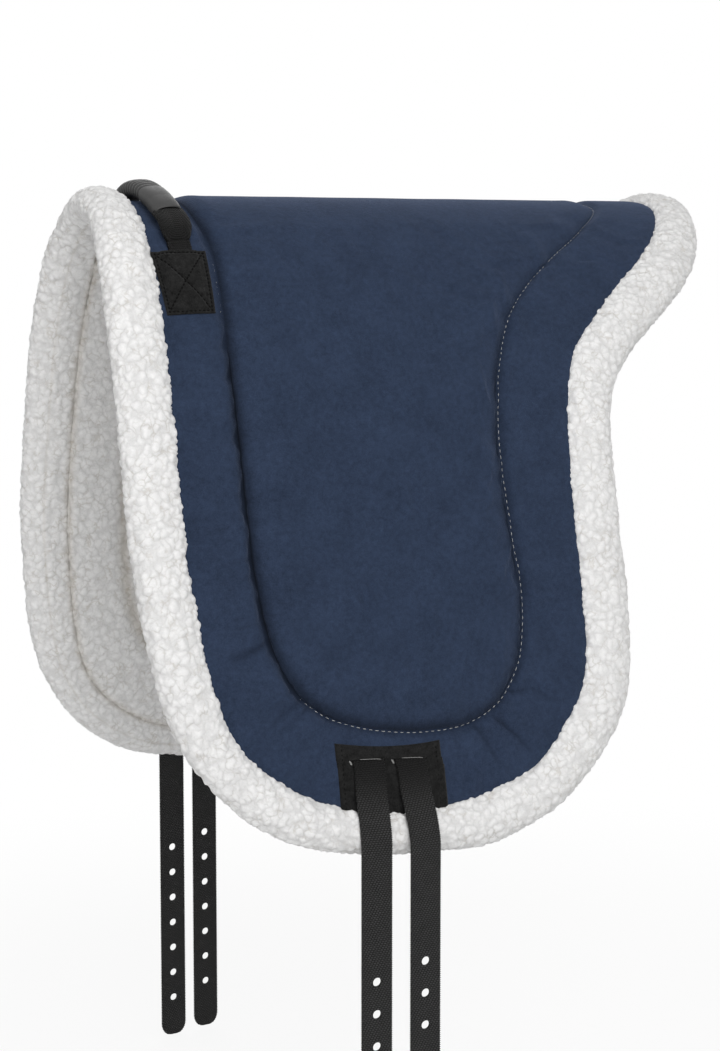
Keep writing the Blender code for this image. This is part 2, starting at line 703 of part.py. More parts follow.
def make_grip(name, collection, material):
    """Moulded grip with a channel for the webbing; the ribs run round the outside."""
    bm = bmesh.new()
    outer_rings = []
    inner_rings = []
    for t, share in grip_stations():
        centre, across, out = handle_frame(t)
        is_end = abs(abs(t) - GRIP_HALF_LENGTH) < 0.01
        cut = 0.0 if share > 0.5 else RIB_DEPTH
        half_width = GRIP_WIDTH / 2.0 * (0.94 if is_end else 1.0) - cut
        half_height = GRIP_HEIGHT / 2.0 * (0.75 if is_end else 1.0) - cut
        ring = []
        for step in range(14):
            angle = 2.0 * math.pi * (step + 0.5) / 14
            c = math.cos(angle)
            s = math.sin(angle)
            px = half_width * math.copysign(abs(c) ** 0.75, c)
            pz = half_height * math.copysign(abs(s) ** 0.75, s)
            ring.append(bm.verts.new(centre + across * px + out * pz))
        outer_rings.append(ring)
        wide = HANDLE_WEBBING_WIDTH / 2.0 + 0.3 * MM
        high = HANDLE_WEBBING_THICKNESS / 2.0 + 0.45 * MM
        inner_rings.append((centre, across, out, wide, high))
    channel = []
    last = len(inner_rings) - 1
    plain = 7
    keep = list(range(plain)) + list(range(plain + 2, last - plain, 2))
    keep += list(range(last - plain + 1, last + 1))
    for index in keep:
        centre, across, out, wide, high = inner_rings[index]
        ring = []
        for i, j in ((1, 1), (-1, 1), (-1, -1), (1, -1)):
            ring.append(bm.verts.new(centre + across * (i * wide) + out * (j * high)))
        channel.append(ring)
    for rings in (outer_rings, channel):
        for first, second in zip(rings, rings[1:]):
            count = len(first)
            for index in range(count):
                other = (index + 1) % count
                bm.faces.new((first[index], first[other], second[other], second[index]))
    for end in (0, -1):
        close_ring(bm, outer_rings[end], channel[end])
    obj = finish_object(bm, name, collection, material)
    set_origin(obj, handle_axis())
    return obj


def close_ring(bm, outer, inner):
    """Flat end between a round outer ring and the four corners of the channel."""
    count = len(outer)
    for index in range(count):
        other = (index + 1) % count
        corner = index * 4 // count
        next_corner = other * 4 // count
        if corner == next_corner:
            bm.faces.new((outer[index], outer[other], inner[corner]))
        else:
            bm.faces.new((outer[index], outer[other], inner[next_corner], inner[corner]))


def hinge_points(side):
    """Two points of a flap's hinge line, at the front and the rear of the pad."""
    front = drape(-250.0 * MM, side * HINGE_T, ROLL_CREST)
    rear = drape(180.0 * MM, side * HINGE_T, ROLL_CREST)
    return front, rear


def parent_to(child, parent):
    child.parent = parent
    child.matrix_parent_inverse = parent.matrix_basis.inverted()


def make_flap_pivot(name, side, collection):
    """Empty on the flap's hinge line, with its X axis along the line."""
    front, rear = hinge_points(side)
    pivot = bpy.data.objects.new(name, None)
    direction = (rear - front).normalized()
    pivot.rotation_mode = "QUATERNION"
    pivot.rotation_quaternion = direction.to_track_quat("X", "Z")
    pivot.location = (front + rear) / 2.0
    pivot.empty_display_size = 0.03
    collection.objects.link(pivot)
    return pivot


def main():
    clear_scene()
    pad = bpy.data.collections.new("bareback_pad")
    cutters = bpy.data.collections.new("cutters")
    bpy.context.scene.collection.children.link(pad)
    bpy.context.scene.collection.children.link(cutters)
    cutters.hide_render = True

    def own(name, colour, roughness, sheen=0.0):
        return make_material(name + "_material", colour, roughness, sheen)

    sides = (("near", -1), ("off", 1))
    make_layer("seat_cover", "cover", 0, pad, own("seat_cover", NAVY, 0.9, 0.4))
    make_layer("seat_foam", "foam", 0, pad, own("seat_foam", FOAM, 0.95))
    make_layer("seat_lining", "lining", 0, pad, own("seat_lining", FLEECE, 0.95, 0.3))
    make_end_roll("pommel_roll", EDGE_FRONT, RIM_FRONT, pad, own("pommel_roll", FLEECE, 0.95, 0.3))
    make_end_roll("cantle_roll", EDGE_REAR, RIM_REAR, pad, own("cantle_roll", FLEECE, 0.95, 0.3))

    webbing = make_handle_webbing("handle_webbing", pad, own("handle_webbing", BLACK, 0.85))
    grip = make_grip("handle_grip", pad, own("handle_grip", RUBBER, 0.55))
    parent_to(grip, webbing)

    for word, side in sides:
        pivot = make_flap_pivot(word + "_flap_pivot", side, pad)
        pieces = []
        for layer, colour, sheen in (("cover", NAVY, 0.4), ("foam", FOAM, 0.0), ("lining", FLEECE, 0.3)):
            name = word + "_flap_" + layer
            pieces.append(make_layer(name, layer, side, pad, own(name, colour, 0.92, sheen)))
        name = word + "_flap_roll"
        pieces.append(make_flap_roll(name, side, pad, own(name, FLEECE, 0.95, 0.3)))
        name = word + "_girth_patch"
        pieces.append(make_girth_patch(name, side, pad, own(name, PATCH_BLACK, 0.9)))
        name = word + "_handle_patch"
        make_handle_patch(name, side, pad, own(name, PATCH_BLACK, 0.9))
        name = word + "_handle_end"
        make_handle_end(name, side, pad, own(name, BLACK, 0.85))
        for place, slot_x, joint_x, first_hole in STRAPS[word]:
            name = word + "_" + place + "_strap_upper"
            upper = make_upper_strap(name, slot_x, joint_x, side, pad, own(name, BLACK, 0.85))
            name = word + "_" + place + "_strap_lower"
            lower = make_lower_strap(name, joint_x, side, first_hole, pad, cutters, own(name, BLACK, 0.85))
            bpy.context.view_layer.update()
            parent_to(lower, upper)
            pieces.append(upper)
        bpy.context.view_layer.update()
        for piece in pieces:
            parent_to(piece, pivot)


main()
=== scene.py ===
"""Looks of the bareback pad: suede cover, fleece roll and lining, patches, grab handle and girth straps.

The pad's flat pattern is in millimetres: x runs along the spine from the pommel (negative) to the cantle, t is the
distance down the side, and h is the height above the cover. drape() hangs it over the arch, as the part does.
Each side is one half of the pad, from the spine down.
"""

import json
import math

import bmesh
import bpy
import numpy as np
from mathutils import Euler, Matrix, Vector, noise
from mathutils.bvhtree import BVHTree


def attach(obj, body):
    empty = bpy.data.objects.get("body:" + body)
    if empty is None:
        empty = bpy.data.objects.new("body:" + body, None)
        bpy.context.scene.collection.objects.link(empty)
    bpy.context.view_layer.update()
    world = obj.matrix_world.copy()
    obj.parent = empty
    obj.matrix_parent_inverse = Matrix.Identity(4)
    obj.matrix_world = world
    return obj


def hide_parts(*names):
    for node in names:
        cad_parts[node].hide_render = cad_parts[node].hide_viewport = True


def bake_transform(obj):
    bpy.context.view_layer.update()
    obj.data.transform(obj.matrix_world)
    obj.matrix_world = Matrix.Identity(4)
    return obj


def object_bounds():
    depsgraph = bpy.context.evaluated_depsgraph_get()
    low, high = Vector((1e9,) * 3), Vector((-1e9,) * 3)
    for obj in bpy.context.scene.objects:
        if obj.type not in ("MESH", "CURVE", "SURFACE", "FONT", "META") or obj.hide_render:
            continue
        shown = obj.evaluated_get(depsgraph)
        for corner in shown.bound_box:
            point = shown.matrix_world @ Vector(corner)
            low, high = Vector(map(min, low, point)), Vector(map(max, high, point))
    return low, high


bl_info = {
    "name": "Bareback pad",
    "version": (1, 0, 0),
    "blender": (4, 5, 0),
    "location": "3D View > Sidebar > Pad",
    "description": "Builds the cloth, fleece, webbing and stitching of a bareback pad",
    "category": "Object",
}

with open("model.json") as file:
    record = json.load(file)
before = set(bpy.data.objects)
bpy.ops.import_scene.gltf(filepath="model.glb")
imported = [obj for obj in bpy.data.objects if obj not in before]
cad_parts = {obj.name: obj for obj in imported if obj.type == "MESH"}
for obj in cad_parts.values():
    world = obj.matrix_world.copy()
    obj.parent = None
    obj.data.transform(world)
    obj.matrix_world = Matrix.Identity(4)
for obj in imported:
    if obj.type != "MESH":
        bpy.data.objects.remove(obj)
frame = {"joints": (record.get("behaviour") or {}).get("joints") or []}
CAD_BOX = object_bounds()

MM = 0.001
SIDES = {"near": -1, "off": 1}

# Round one half of the pad: points of the quilting seam, of the cover's edge and of the fleece rim.
BAND = np.array([
    ((-205, 0), (-250, 0), (-285, 0)),
    ((-202.5, 50), (-250, 50), (-286, 50)),
    ((-199, 100), (-250, 100), (-290, 100)),
    ((-201, 160), (-252, 160), (-292, 160)),
    ((-201, 230), (-253, 230), (-292, 230)),
    ((-200, 310), (-253, 310), (-292, 310)),
    ((-197, 367), (-249, 370), (-287, 374)),
    ((-188, 415), (-241, 428), (-277, 437)),
    ((-174, 446), (-229, 470), (-260, 483)),
    ((-156, 465), (-205, 503), (-228, 527)),
    ((-134, 477), (-165, 531), (-180, 561)),
    ((-106, 486), (-120, 546), (-125, 577)),
    ((-70, 492), (-75, 552), (-76, 584)),
    ((-33, 491), (-25, 549), (-16, 586)),
    ((-3, 477), (22, 534), (43, 567)),
    ((13, 455), (55, 504), (88, 530)),
    ((21, 430), (75, 468), (115, 484)),
    ((24, 398), (80, 415), (123, 416)),
    ((21, 356), (80, 360), (122, 358)),
    ((18, 298), (82, 300), (124, 299)),
    ((21, 252), (87, 250), (128, 257)),
    ((28, 214), (98, 213), (138, 232)),
    ((42, 178), (116, 188), (160, 205)),
    ((53, 160), (145, 160), (215, 160)),
    ((76, 136), (170, 138), (239, 138)),
    ((108, 110), (203, 110), (261, 110)),
    ((152, 76), (230, 80), (276, 80)),
    ((185, 40), (248, 45), (287, 45)),
    ((190, 0), (252, 0), (291, 0)),
], float)
SEAM, EDGE, RIM = BAND.transpose(1, 0, 2)
LAST = len(BAND) - 1
FRONT_CORNER = 9
REAR_CORNER = 15

# Folds of the suede in pattern space: start, end, half width and share of the depth.
FOLDS = (
    ((-189.5, 409.0), (-228.0, 418.0), 4.0, 1.0), ((-168.0, 451.0), (-204.0, 479.0), 3.2, 0.7),
    ((-163.0, 456.0), (-190.0, 481.0), 2.6, 0.55), ((3.0, 470.5), (26.0, 474.5), 2.8, 0.9),
    ((20.0, 472.5), (50.0, 487.0), 3.0, 0.7), ((-13.0, 489.0), (22.0, 525.0), 2.6, 1.0),
    ((-31.0, 493.0), (-8.0, 526.0), 3.0, 0.9), ((-49.0, 497.0), (-35.0, 530.0), 3.4, 0.5))

# Section of the fleece roll: share of the way from the cover's edge to the rim, height, and how much pile shows.
ROLL_SECTION = [
    (0.05, -15.0, 0.0), (0.06, -8.0, 0.0), (0.04, -3.4, 0.1), (-0.02, -2.4, 0.6), (-0.045, -0.4, 1.3),
    (0.0, 2.6, 1.4), (0.16, 6.2, 1.1), (0.42, 8.0, 1.0), (0.68, 6.8, 1.0), (0.88, 2.6, 1.0), (0.98, -2.5, 1.0),
    (1.0, -6.5, 1.0), (0.95, -12.0, 1.0), (0.78, -17.0, 1.0), (0.5, -21.3, 1.0), (0.2, -21.6, 1.0),
    (0.03, -20.6, 0.9), (-0.04, -18.0, 0.3),
]

# Grids of the cover and of the lining: cells down the panel, across it and over the border. The hidden side of each
# has cells that are HIDDEN_RATIO times as long, and a height inside the seam and one outside it.
COVER_GRID = (190, 110, 20)
COVER_HIDDEN = (-15.4, -13.5)
LINING_GRID = (270, 170, 25)
LINING_HEIGHT = -20.9
LINING_HIDDEN = (-16.2, -15.4)
HIDDEN_RATIO = 5
FAR = 99.0

# How finely the other pieces are cut, along and round.
ARCH_STEPS = 24
ROLL_STEPS = 960
ROLL_SIDES = 66
QUILTING_STEPS = 500
STRAP_STEPS = 1020
HANDLE_STEPS = 808
GRIP_STEPS = 660
WEBBING_SIDES = 28
GRIP_SIDES = 44

HINGE_T = 160.0
BEND_REACH = 22.0
HANDLE_X = -226.0
HANDLE_LEAN = 0.12
HANDLE_FOOT = (96.0, 2.5)
HANDLE_HEIGHTS = [(0, 5.5), (30, 5.5), (50, 6.8), (62, 8.4), (72, 8.4), (81, 6.4), (89, 4.2), (96, 2.5), (102, 1.6)]
HANDLE_PATCH = (-246.5, -205.5, 98.5, 154.0)
HANDLE_STITCH_INSET = 2.4
HANDLE_END = 101.0
GRIP_END = 66.0
RIBS_END = 31.2
RIB_PITCH = 4.8
GIRTH_COLUMNS = (-146.6, -134.8, -134.5, -108.1, -107.8, -100.3, -100.0, -73.6, -73.3, -59.5)
GIRTH_ROWS = (495.5, 508.5, 508.9, 514.1, 514.5)
GIRTH_PATCH_AREA = (-150.0, -54.0, 486.0, 560.0)
GIRTH_PATCH_MIDDLE = -102.0
GIRTH_PATCH_TILT = 0.12
GIRTH_STITCH_INSET = 4.6
SLOT_MIDDLE_T = 511.1
STRAP_RUN = [(505.5, 0.2), (509.0, 1.2), (512.0, 2.8), (515.0, 3.9), (520.5, 4.2), (532.0, 4.6), (547.0, 7.9),
             (560.0, 10.0), (570.0, 10.2)]
STRAP_JOINT = (576.0, 9.7)
STRAP_TIP = 12.0
SELVEDGE_PITCH = 0.0016
HANDLE_RIB_PITCH = 0.00165

# For each side and strap: x at its slot, x where it leaves the roll, and its first hole below that place.
STRAPS = {
    "near": {"front": (-121.3, -123.9, 98.0), "rear": (-86.8, -83.4, 90.0)},
    "off": {"front": (-121.3, -127.0, 98.0), "rear": (-86.8, -92.5, 90.0)},
}

BLACK = (0.003, 0.003, 0.003)
SLOT_EDGE_COLOUR = (0.22, 0.22, 0.215)

# Lamps: place and power, all aimed at one point. The camera is the photo's: its focal length is in pixels.
LAMPS = {"high": ((-0.4, -2.0, 1.7), 31.0), "key": ((-0.9, -2.4, 0.4), 19.5), "fill": ((-2.4, -0.5, 0.35), 7.0),
         "back": ((0.6, 2.2, 1.2), 16.0)}
LAMP_SIZE = 1.7
LAMP_AIM = (-0.05, 0.0, -0.25)
CAMERA_PLACE = (-0.6998, -1.3189, -0.1387)
CAMERA_ELEVATION = 4.65
CAMERA_TURN = -26.93
FOCAL_PIXELS = 1699.0
PHOTO_PIXELS = 1051.0
SENSOR = 36.0

# The covers' cloth simulation.
CLOTH_FRAMES = 18
CLOTH = {"quality": 4, "mass": 0.1, "tension_stiffness": 12.0, "compression_stiffness": 12.0, "shear_stiffness": 4.0,
         "bending_stiffness": 0.1, "vertex_group_mass": "held", "shrink_min": -0.03, "use_pressure": True,
         "uniform_pressure_force": 1.0}


def number_property(label, words, value, unit="NONE"):
    return bpy.props.FloatProperty(name=label, description=words, default=value, unit=unit)


def length_property(label, words, value):
    return number_property(label, words, value, "LENGTH")


def colour_property(label, words, value):
    return bpy.props.FloatVectorProperty(
        name=label, description=words, default=value, subtype="COLOR", size=3, min=0.0, max=1.0)


class PadShape(bpy.types.PropertyGroup):
    """Sizes of the pad and of the arch that it hangs over."""

    thickness: length_property("Pad thickness", "From the cover to the fleece underside", 0.024)
    side_slope: number_property("Side slope", "How steeply the flaps hang", math.radians(80.3), "ROTATION")
    arch_length: length_property("Arch length", "Distance over which the back turns into the side", 0.098)
    arch_growth: number_property("Arch growth", "How much wider the arch gets towards the cantle", 0.05)
    spine_rise: number_property("Spine rise", "Rise of the spine towards the cantle, per length", 0.0375)
    seam_depth: length_property("Seam depth", "How far the quilting seam is drawn in", 0.0034)
    panel_crown: length_property("Panel crown", "How far the panel inside the seam stands up", 0.0036)
    spine_dip: length_property("Spine dip", "How far the panel sinks along the spine", 0.0032)
    pommel_dip: length_property("Pommel dip", "How far the border sinks under the handle", 0.005)
    settling: length_property("Settling", "Furthest that the simulated cloth may move", 0.0016)


class PadFleece(bpy.types.PropertyGroup):
    """Sizes of the fleece pile."""

    clump: length_property("Clump size", "Width of a clump of pile", 0.0064)
    height: length_property("Clump height", "How far a clump stands above the gaps", 0.0016)
    wander: length_property("Unevenness", "Slow rise and fall of the pile", 0.0022)


class PadTrim(bpy.types.PropertyGroup):
    """Sizes of the webbing, the grip and the stitching."""

    strap_width: length_property("Strap width", "Width of a girth strap", 0.025)
    strap_thickness: length_property("Strap thickness", "Thickness of a girth strap", 0.0022)
    strap_length: length_property("Strap length", "Free length below the roll", 0.285)
    hole_diameter: length_property("Hole diameter", "Diameter of a punched hole", 0.007)
    hole_spacing: length_property("Hole spacing", "Distance between holes", 0.025)
    hole_count: bpy.props.IntProperty(name="Holes", description="Punched holes in each strap", default=7)
    grip_width: length_property("Grip width", "Width of the handle grip", 0.0224)
    grip_height: length_property("Grip height", "Height of the handle grip", 0.0142)
    stitch_pitch: length_property("Stitch pitch", "Distance from one quilting stitch to the next", 0.0052)


class PadColours(bpy.types.PropertyGroup):
    """Colours of the cloths, the pile and the moulded grip."""

    suede: colour_property("Suede", "Colour of the top cloth", (0.0248, 0.0378, 0.0705))
    fleece: colour_property("Fleece", "Colour of the pile", (0.84, 0.835, 0.83))
    # Besides the backing itself, this colour is the tint of the painted shade in the fleece's gaps, folds and
    # crevices.
    backing: colour_property("Fleece backing", "Colour deep between the clumps", (0.43, 0.38, 0.31))
    webbing: colour_property("Webbing", "Colour of the straps", (0.0205, 0.0205, 0.0205))
    patch: colour_property("Patch cloth", "Colour of the stitched patches", (0.0135, 0.0135, 0.0135))
    rubber: colour_property("Grip", "Colour of the moulded grip", (0.040, 0.040, 0.040))
    thread: colour_property("Thread", "Colour of the quilting thread", (0.9, 0.9, 0.88))


def settings(group):
    """The pad's settings of one kind: shape, fleece, trim or colours."""
    return getattr(bpy.context.scene, "pad_" + group)


# Curves and numbers

def unit(values):
    """Values held between 0 and 1."""
    return np.clip(values, 0.0, 1.0)


def bell(distance, width):
    """1 at a distance of 0, falling away over the width."""
    return np.exp(-(distance / width) ** 2)


def rounded(distance, reach):
    """0 at a seam, rising steeply and then levelling off like the side of a cushion."""
    return np.sqrt(1.0 - (1.0 - unit(distance / reach)) ** 2)


def squared(values, power):
    """Sines or cosines that make a round outline squarer, the more so the smaller the power."""
    return np.sign(values) * np.abs(values) ** power


def normed(vectors):
    return vectors / np.linalg.norm(vectors, axis=-1, keepdims=True)


def uneven(points, size, seed, side):
    """Slow noise over pattern points, about -1 to 1; it runs on over the spine."""
    return np.array([noise.noise(Vector((px / size, side * pt / size, seed))) for px, pt in points])


def smooth_line(points, places):
    """Points of a smooth line through the given ones; place 2.5 is half way from point 2 to point 3."""
    points = np.asarray(points, float)
    index = np.clip(places.astype(int), 0, len(points) - 2)
    longer = np.concatenate((2 * points[:1] - points[1:2], points, 2 * points[-1:] - points[-2:-1]))
    before, start, end, after = (longer[index + step] for step in range(4))
    f = (places - index)[:, None]
    f2 = f * f
    f3 = f2 * f
    slopes = (end - before) * 0.5 * (f3 - 2 * f2 + f) + (after - start) * 0.5 * (f3 - f2)
    return start * (2 * f3 - 3 * f2 + 1) + end * (3 * f2 - 2 * f3) + slopes


def run_lengths(points):
    """How far along a line each of its points lies."""
    return np.concatenate(([0.0], np.cumsum(np.linalg.norm(np.diff(points, axis=0), axis=1))))


def even_places(points, start, end, count, spacing=None):
    """Places from one point to another, spread along the line's length, evenly or by a spacing."""
    fine = np.linspace(start, end, 60 * max(1, int(end - start)) + 1)
    run = run_lengths(smooth_line(points, fine))
    shares = np.linspace(0.0, 1.0, count + 1)
    return np.interp((spacing(shares) if spacing else shares) * run[-1], run, fine)


def close_at_end(shares):
    """Shares from 0 to 1, closer together towards 1. The next two do this at 0, and at both."""
    return shares + 0.6 * shares * (1.0 - shares)


def close_at_start(shares):
    return shares - 0.6 * shares * (1.0 - shares)


def close_at_both(shares):
    return shares - 0.6 * np.sin(2 * np.pi * shares) / (2 * np.pi)


def doubled(values, axis):
    """Values with a smooth one added between each two along an axis."""
    values = np.moveaxis(values, axis, 0)
    before = np.concatenate((values[:1], values[:-2]))
    after = np.concatenate((values[2:], values[-1:]))
    out = np.empty((2 * len(values) - 1,) + values.shape[1:])
    out[0::2] = values
    out[1::2] = (9.0 * (values[:-1] + values[1:]) - before - after) / 16.0
    return np.moveaxis(out, 0, axis)


# Pattern and drape

def arch(x, t):
    """Half width, drop and slope of the cover at distances t down the side, in millimetres."""
    shape = settings("shape")
    length = shape.arch_length / MM + shape.arch_growth * x
    width = drop = 0.0
    for step in range(ARCH_STEPS):
        slope = shape.side_slope * (1.0 - np.exp(-t * (step + 0.5) / ARCH_STEPS / length))
        width = width + np.cos(slope) * t / ARCH_STEPS
        drop = drop + np.sin(slope) * t / ARCH_STEPS
    return width, drop, shape.side_slope * (1.0 - np.exp(-t / length))


def drape(x, t, h, side):
    """World positions, in metres, of pattern points on one side of the pad."""
    shape = settings("shape")
    x, t, h = np.broadcast_arrays(np.asarray(x, float), np.asarray(t, float), np.asarray(h, float))
    width, drop, slope = arch(x, t)
    y = side * (width + h * np.sin(slope))
    z = shape.thickness / MM + shape.spine_rise * x - drop + h * np.cos(slope)
    return np.stack((x, y, z), axis=-1) * MM


def surface_normal(x, t, side):
    """Direction out of the cover at pattern points."""
    slope = arch(np.asarray(x, float), np.asarray(t, float))[2]
    return np.stack((np.zeros_like(slope), side * np.sin(slope), np.cos(slope)), axis=-1)


def band_lines(places):
    """Seam, edge and rim points of the half pad at the given places round it."""
    return [smooth_line(line, places) for line in (SEAM, EDGE, RIM)]


def cells(rows, columns, index):
    """Corners of each cell of a grid of points; index gives the point at a row and a column."""
    return [(index(row, column), index(row, column + 1), index(row + 1, column + 1), index(row + 1, column))
            for row in range(rows) for column in range(columns)]


class HalfGrid:
    """Grid over one half of the pad: a panel inside the quilting seam and the border band round it."""

    def __init__(self, down, across, band):
        self.down, self.across, self.band = down, across, band
        places = np.concatenate((
            even_places(SEAM, 0, FRONT_CORNER, down, close_at_end)[:-1],
            even_places(SEAM, FRONT_CORNER, REAR_CORNER, across, close_at_both)[:-1],
            even_places(SEAM, REAR_CORNER, LAST, down, close_at_start)))
        self.stations = len(places)
        seam, edge, _ = band_lines(places)
        shares = close_at_both(np.linspace(0.0, 1.0, band + 1))[:, None, None]
        border = (seam * (1 - shares) + edge * shares).reshape(-1, 2)
        panel = self.panel_points(seam)
        self.points = np.concatenate((border, panel))
        width = np.linalg.norm(edge - seam, axis=1)
        from_seam, to_edge = ((part[:, :, 0] * width).ravel() for part in (shares, 1 - shares))
        fine_seam = band_lines(np.linspace(0, LAST, 4 * len(places)))[0]
        self.seam_distance = np.concatenate((-from_seam, self.nearest(panel, fine_seam)))
        self.edge_distance = np.concatenate((to_edge, np.full(len(panel), FAR)))
        self.places = np.concatenate((np.tile(places, band + 1), np.full(len(panel), -1.0)))
        self.faces = cells(band, self.stations - 1, lambda row, column: row * self.stations + column) + cells(
            down, across, self.index)
        self.loop = self.make_loop()

    def coarser(self, ratio):
        return HalfGrid(self.down // ratio, self.across // ratio, self.band // ratio)

    def panel_points(self, seam):
        """Points inside the seam, between its two sides, its lowest stretch and the spine."""
        down, across = self.down, self.across
        left, bottom, right = seam[:down + 1], seam[down:down + across + 1], seam[down + across:][::-1]
        u = close_at_both(np.arange(1, across) / across)[None, :, None]
        v = close_at_end(np.arange(down) / down)[:, None, None]
        top = left[0] * (1 - u) + right[0] * u
        corners = top * (1 - v) + (left[-1] * (1 - u) + right[-1] * u) * v
        sides = left[:-1, None] * (1 - u) + right[:-1, None] * u
        ends = top * (1 - v) + bottom[None, 1:-1] * v
        return (sides + ends - corners).reshape(-1, 2)

    def nearest(self, points, line):
        """Distance of each point from a line, in blocks that fit in memory."""
        blocks = [points[start:start + 2000] for start in range(0, len(points), 2000)]
        return np.concatenate([np.sqrt(((block[:, None] - line) ** 2).sum(2).min(1)) for block in blocks])

    def index(self, row, column):
        """Vertex of the panel; its outer rows and columns are the seam's own."""
        if column == 0:
            return row
        if column == self.across:
            return 2 * self.down + self.across - row
        if row == self.down:
            return self.down + column
        return (self.band + 1) * self.stations + row * (self.across - 1) + column - 1

    def make_loop(self):
        """Outline of the grid: round the edge, then back along the spine."""
        wide = self.stations
        return ([self.band * wide + place for place in range(wide)]
                + [row * wide + wide - 1 for row in range(self.band - 1, -1, -1)]
                + [self.index(0, column) for column in range(self.across - 1, 0, -1)]
                + [row * wide for row in range(self.band)])


# Meshes

def linked(name, data):
    """A new object in the scene."""
    made = bpy.data.objects.new(name, data)
    bpy.context.scene.collection.objects.link(made)
    return made


def new_mesh(name, points, faces, **attributes):
    """A mesh object; each attribute has one number to a vertex."""
    mesh = bpy.data.meshes.new(name)
    mesh.from_pydata([tuple(point) for point in points], [], faces)
    mesh.polygons.foreach_set("use_smooth", [True] * len(mesh.polygons))
    for label, values in attributes.items():
        made = mesh.attributes.new(label, "FLOAT", "POINT")
        made.data.foreach_set("value", np.asarray(values, np.float32))
    return linked(name, mesh)


def facing(grid, points, side, way):
    """The faces of a grid, turned over if the first one doesn't look out of the cover, or into it where way is -1."""
    a, b, _, d = (points[index] for index in grid.faces[0])
    outward = way * surface_normal(*grid.points[grid.faces[0][0]], side)
    if np.dot(np.cross(b - a, d - a), outward) < 0.0:
        return [face[::-1] for face in grid.faces]
    return grid.faces


def edit_mesh(obj, change=None):
    """Changes a mesh, if asked, and makes its faces point outwards."""
    work = bmesh.new()
    work.from_mesh(obj.data)
    work.verts.ensure_lookup_table()
    if change:
        change(work)
    bmesh.ops.recalc_face_normals(work, faces=work.faces)
    work.to_mesh(obj.data)
    work.free()


def close_with(obj, grid, heights, side):
    """Adds the hidden side of a padded piece, at one height inside the seam and another outside it: a coarser grid,
    and a wall from its outline to the dense one's."""
    rough = grid.coarser(HIDDEN_RATIO)
    points = drape(*rough.points.T, np.where(rough.seam_distance > 0.0, *heights), side)

    def change(work):
        added = [work.verts.new(tuple(point)) for point in points]
        work.verts.ensure_lookup_table()
        for face in rough.faces:
            work.faces.new([added[index] for index in face]).smooth = True
        for place, (first, second) in enumerate(zip(rough.loop, rough.loop[1:] + rough.loop[:1])):
            steps = range(place * HIDDEN_RATIO, (place + 1) * HIDDEN_RATIO + 1)
            run = [work.verts[grid.loop[step % len(grid.loop)]] for step in steps]
            work.faces.new([added[first]] + run + [added[second]]).smooth = False

    edit_mesh(obj, change)


def bmesh_object(work, name):
    bmesh.ops.recalc_face_normals(work, faces=work.faces)
    mesh = bpy.data.meshes.new(name)
    work.to_mesh(mesh)
    work.free()
    mesh.polygons.foreach_set("use_smooth", [True] * len(mesh.polygons))
    return linked(name, mesh)


def coat(obj, material):
    obj.data.materials.clear()
    obj.data.materials.append(material)


# Node helpers

class Wire:
    """A node's output. Sums, products and so on of wires add math nodes to their tree."""

    def __init__(self, socket):
        self.socket = socket
        self.tree = socket.id_data

    def calc(self, operation, *others):
        return node(self.tree, "ShaderNodeMath", self, *others, operation=operation)

    def __add__(self, other):
        return self.calc("ADD", other)

    def __sub__(self, other):
        return self.calc("SUBTRACT", other)

    def __rsub__(self, other):
        return node(self.tree, "ShaderNodeMath", other, self, operation="SUBTRACT")

    def __mul__(self, other):
        return self.calc("MULTIPLY", other)

    def __truediv__(self, other):
        return self.calc("DIVIDE", other)

    def __rtruediv__(self, other):
        return node(self.tree, "ShaderNodeMath", other, self, operation="DIVIDE")

    def step(self, low, high, to_low=0.0, to_high=1.0):
        """Smooth step of the value from one range to another."""
        return node(self.tree, "ShaderNodeMapRange", Value=self, From_Min=low, From_Max=high, To_Min=to_low,
                    To_Max=to_high, interpolation_type="SMOOTHSTEP")


def node(tree, kind, *values, out=0, at=None, **named):
    """Adds a node and gives a wire from one of its outputs. The values fill or link its first inputs, at those at
    other places, and names with a capital letter the inputs of that name. Other names set its properties."""
    made = tree.nodes.new(kind)
    inputs = {**dict(enumerate(values)), **(at or {})}
    for key, value in named.items():
        if key[0].isupper():
            inputs[key.replace("_", " ")] = value
        else:
            setattr(made, key, value)
    for key, value in inputs.items():
        if isinstance(value, Wire):
            tree.links.new(value.socket, made.inputs[key])
        else:
            made.inputs[key].default_value = value
    return Wire(made.outputs[out])


def feed(made, **wires):
    """Links wires to the named inputs of a node."""
    for label, wire in wires.items():
        wire.tree.links.new(wire.socket, made.inputs[label.replace("_", " ")])


def scaled(vector, share):
    return node(vector.tree, "ShaderNodeVectorMath", vector, Scale=share, operation="SCALE")


def noise_of(vector, scale, detail, out=0, **more):
    return node(vector.tree, "ShaderNodeTexNoise", out=out, Vector=vector, Scale=scale, Detail=detail, **more)


def mix_colour(tree, share, first, second, kind="MIX"):
    return node(tree, "ShaderNodeMix", share, at={6: first, 7: second}, out=2, data_type="RGBA", blend_type=kind)


def new_tree(name, kind, inputs, outputs):
    """A node tree, wires from its inputs by name, and its output node. Words stand for a socket's type."""
    tree = bpy.data.node_groups.new(name, kind)
    types = {float: "Float", int: "Int", tuple: "Vector"}
    for label, value in inputs.items():
        made = tree.interface.new_socket(
            label, in_out="INPUT", socket_type="NodeSocket" + types.get(type(value), value))
        if type(value) in types:
            made.default_value = value
    for label, word in outputs.items():
        tree.interface.new_socket(label, in_out="OUTPUT", socket_type="NodeSocket" + word)
    enter = tree.nodes.new("NodeGroupInput")
    given = {socket.name: Wire(socket) for socket in enter.outputs if socket.name}
    return tree, given, tree.nodes.new("NodeGroupOutput")


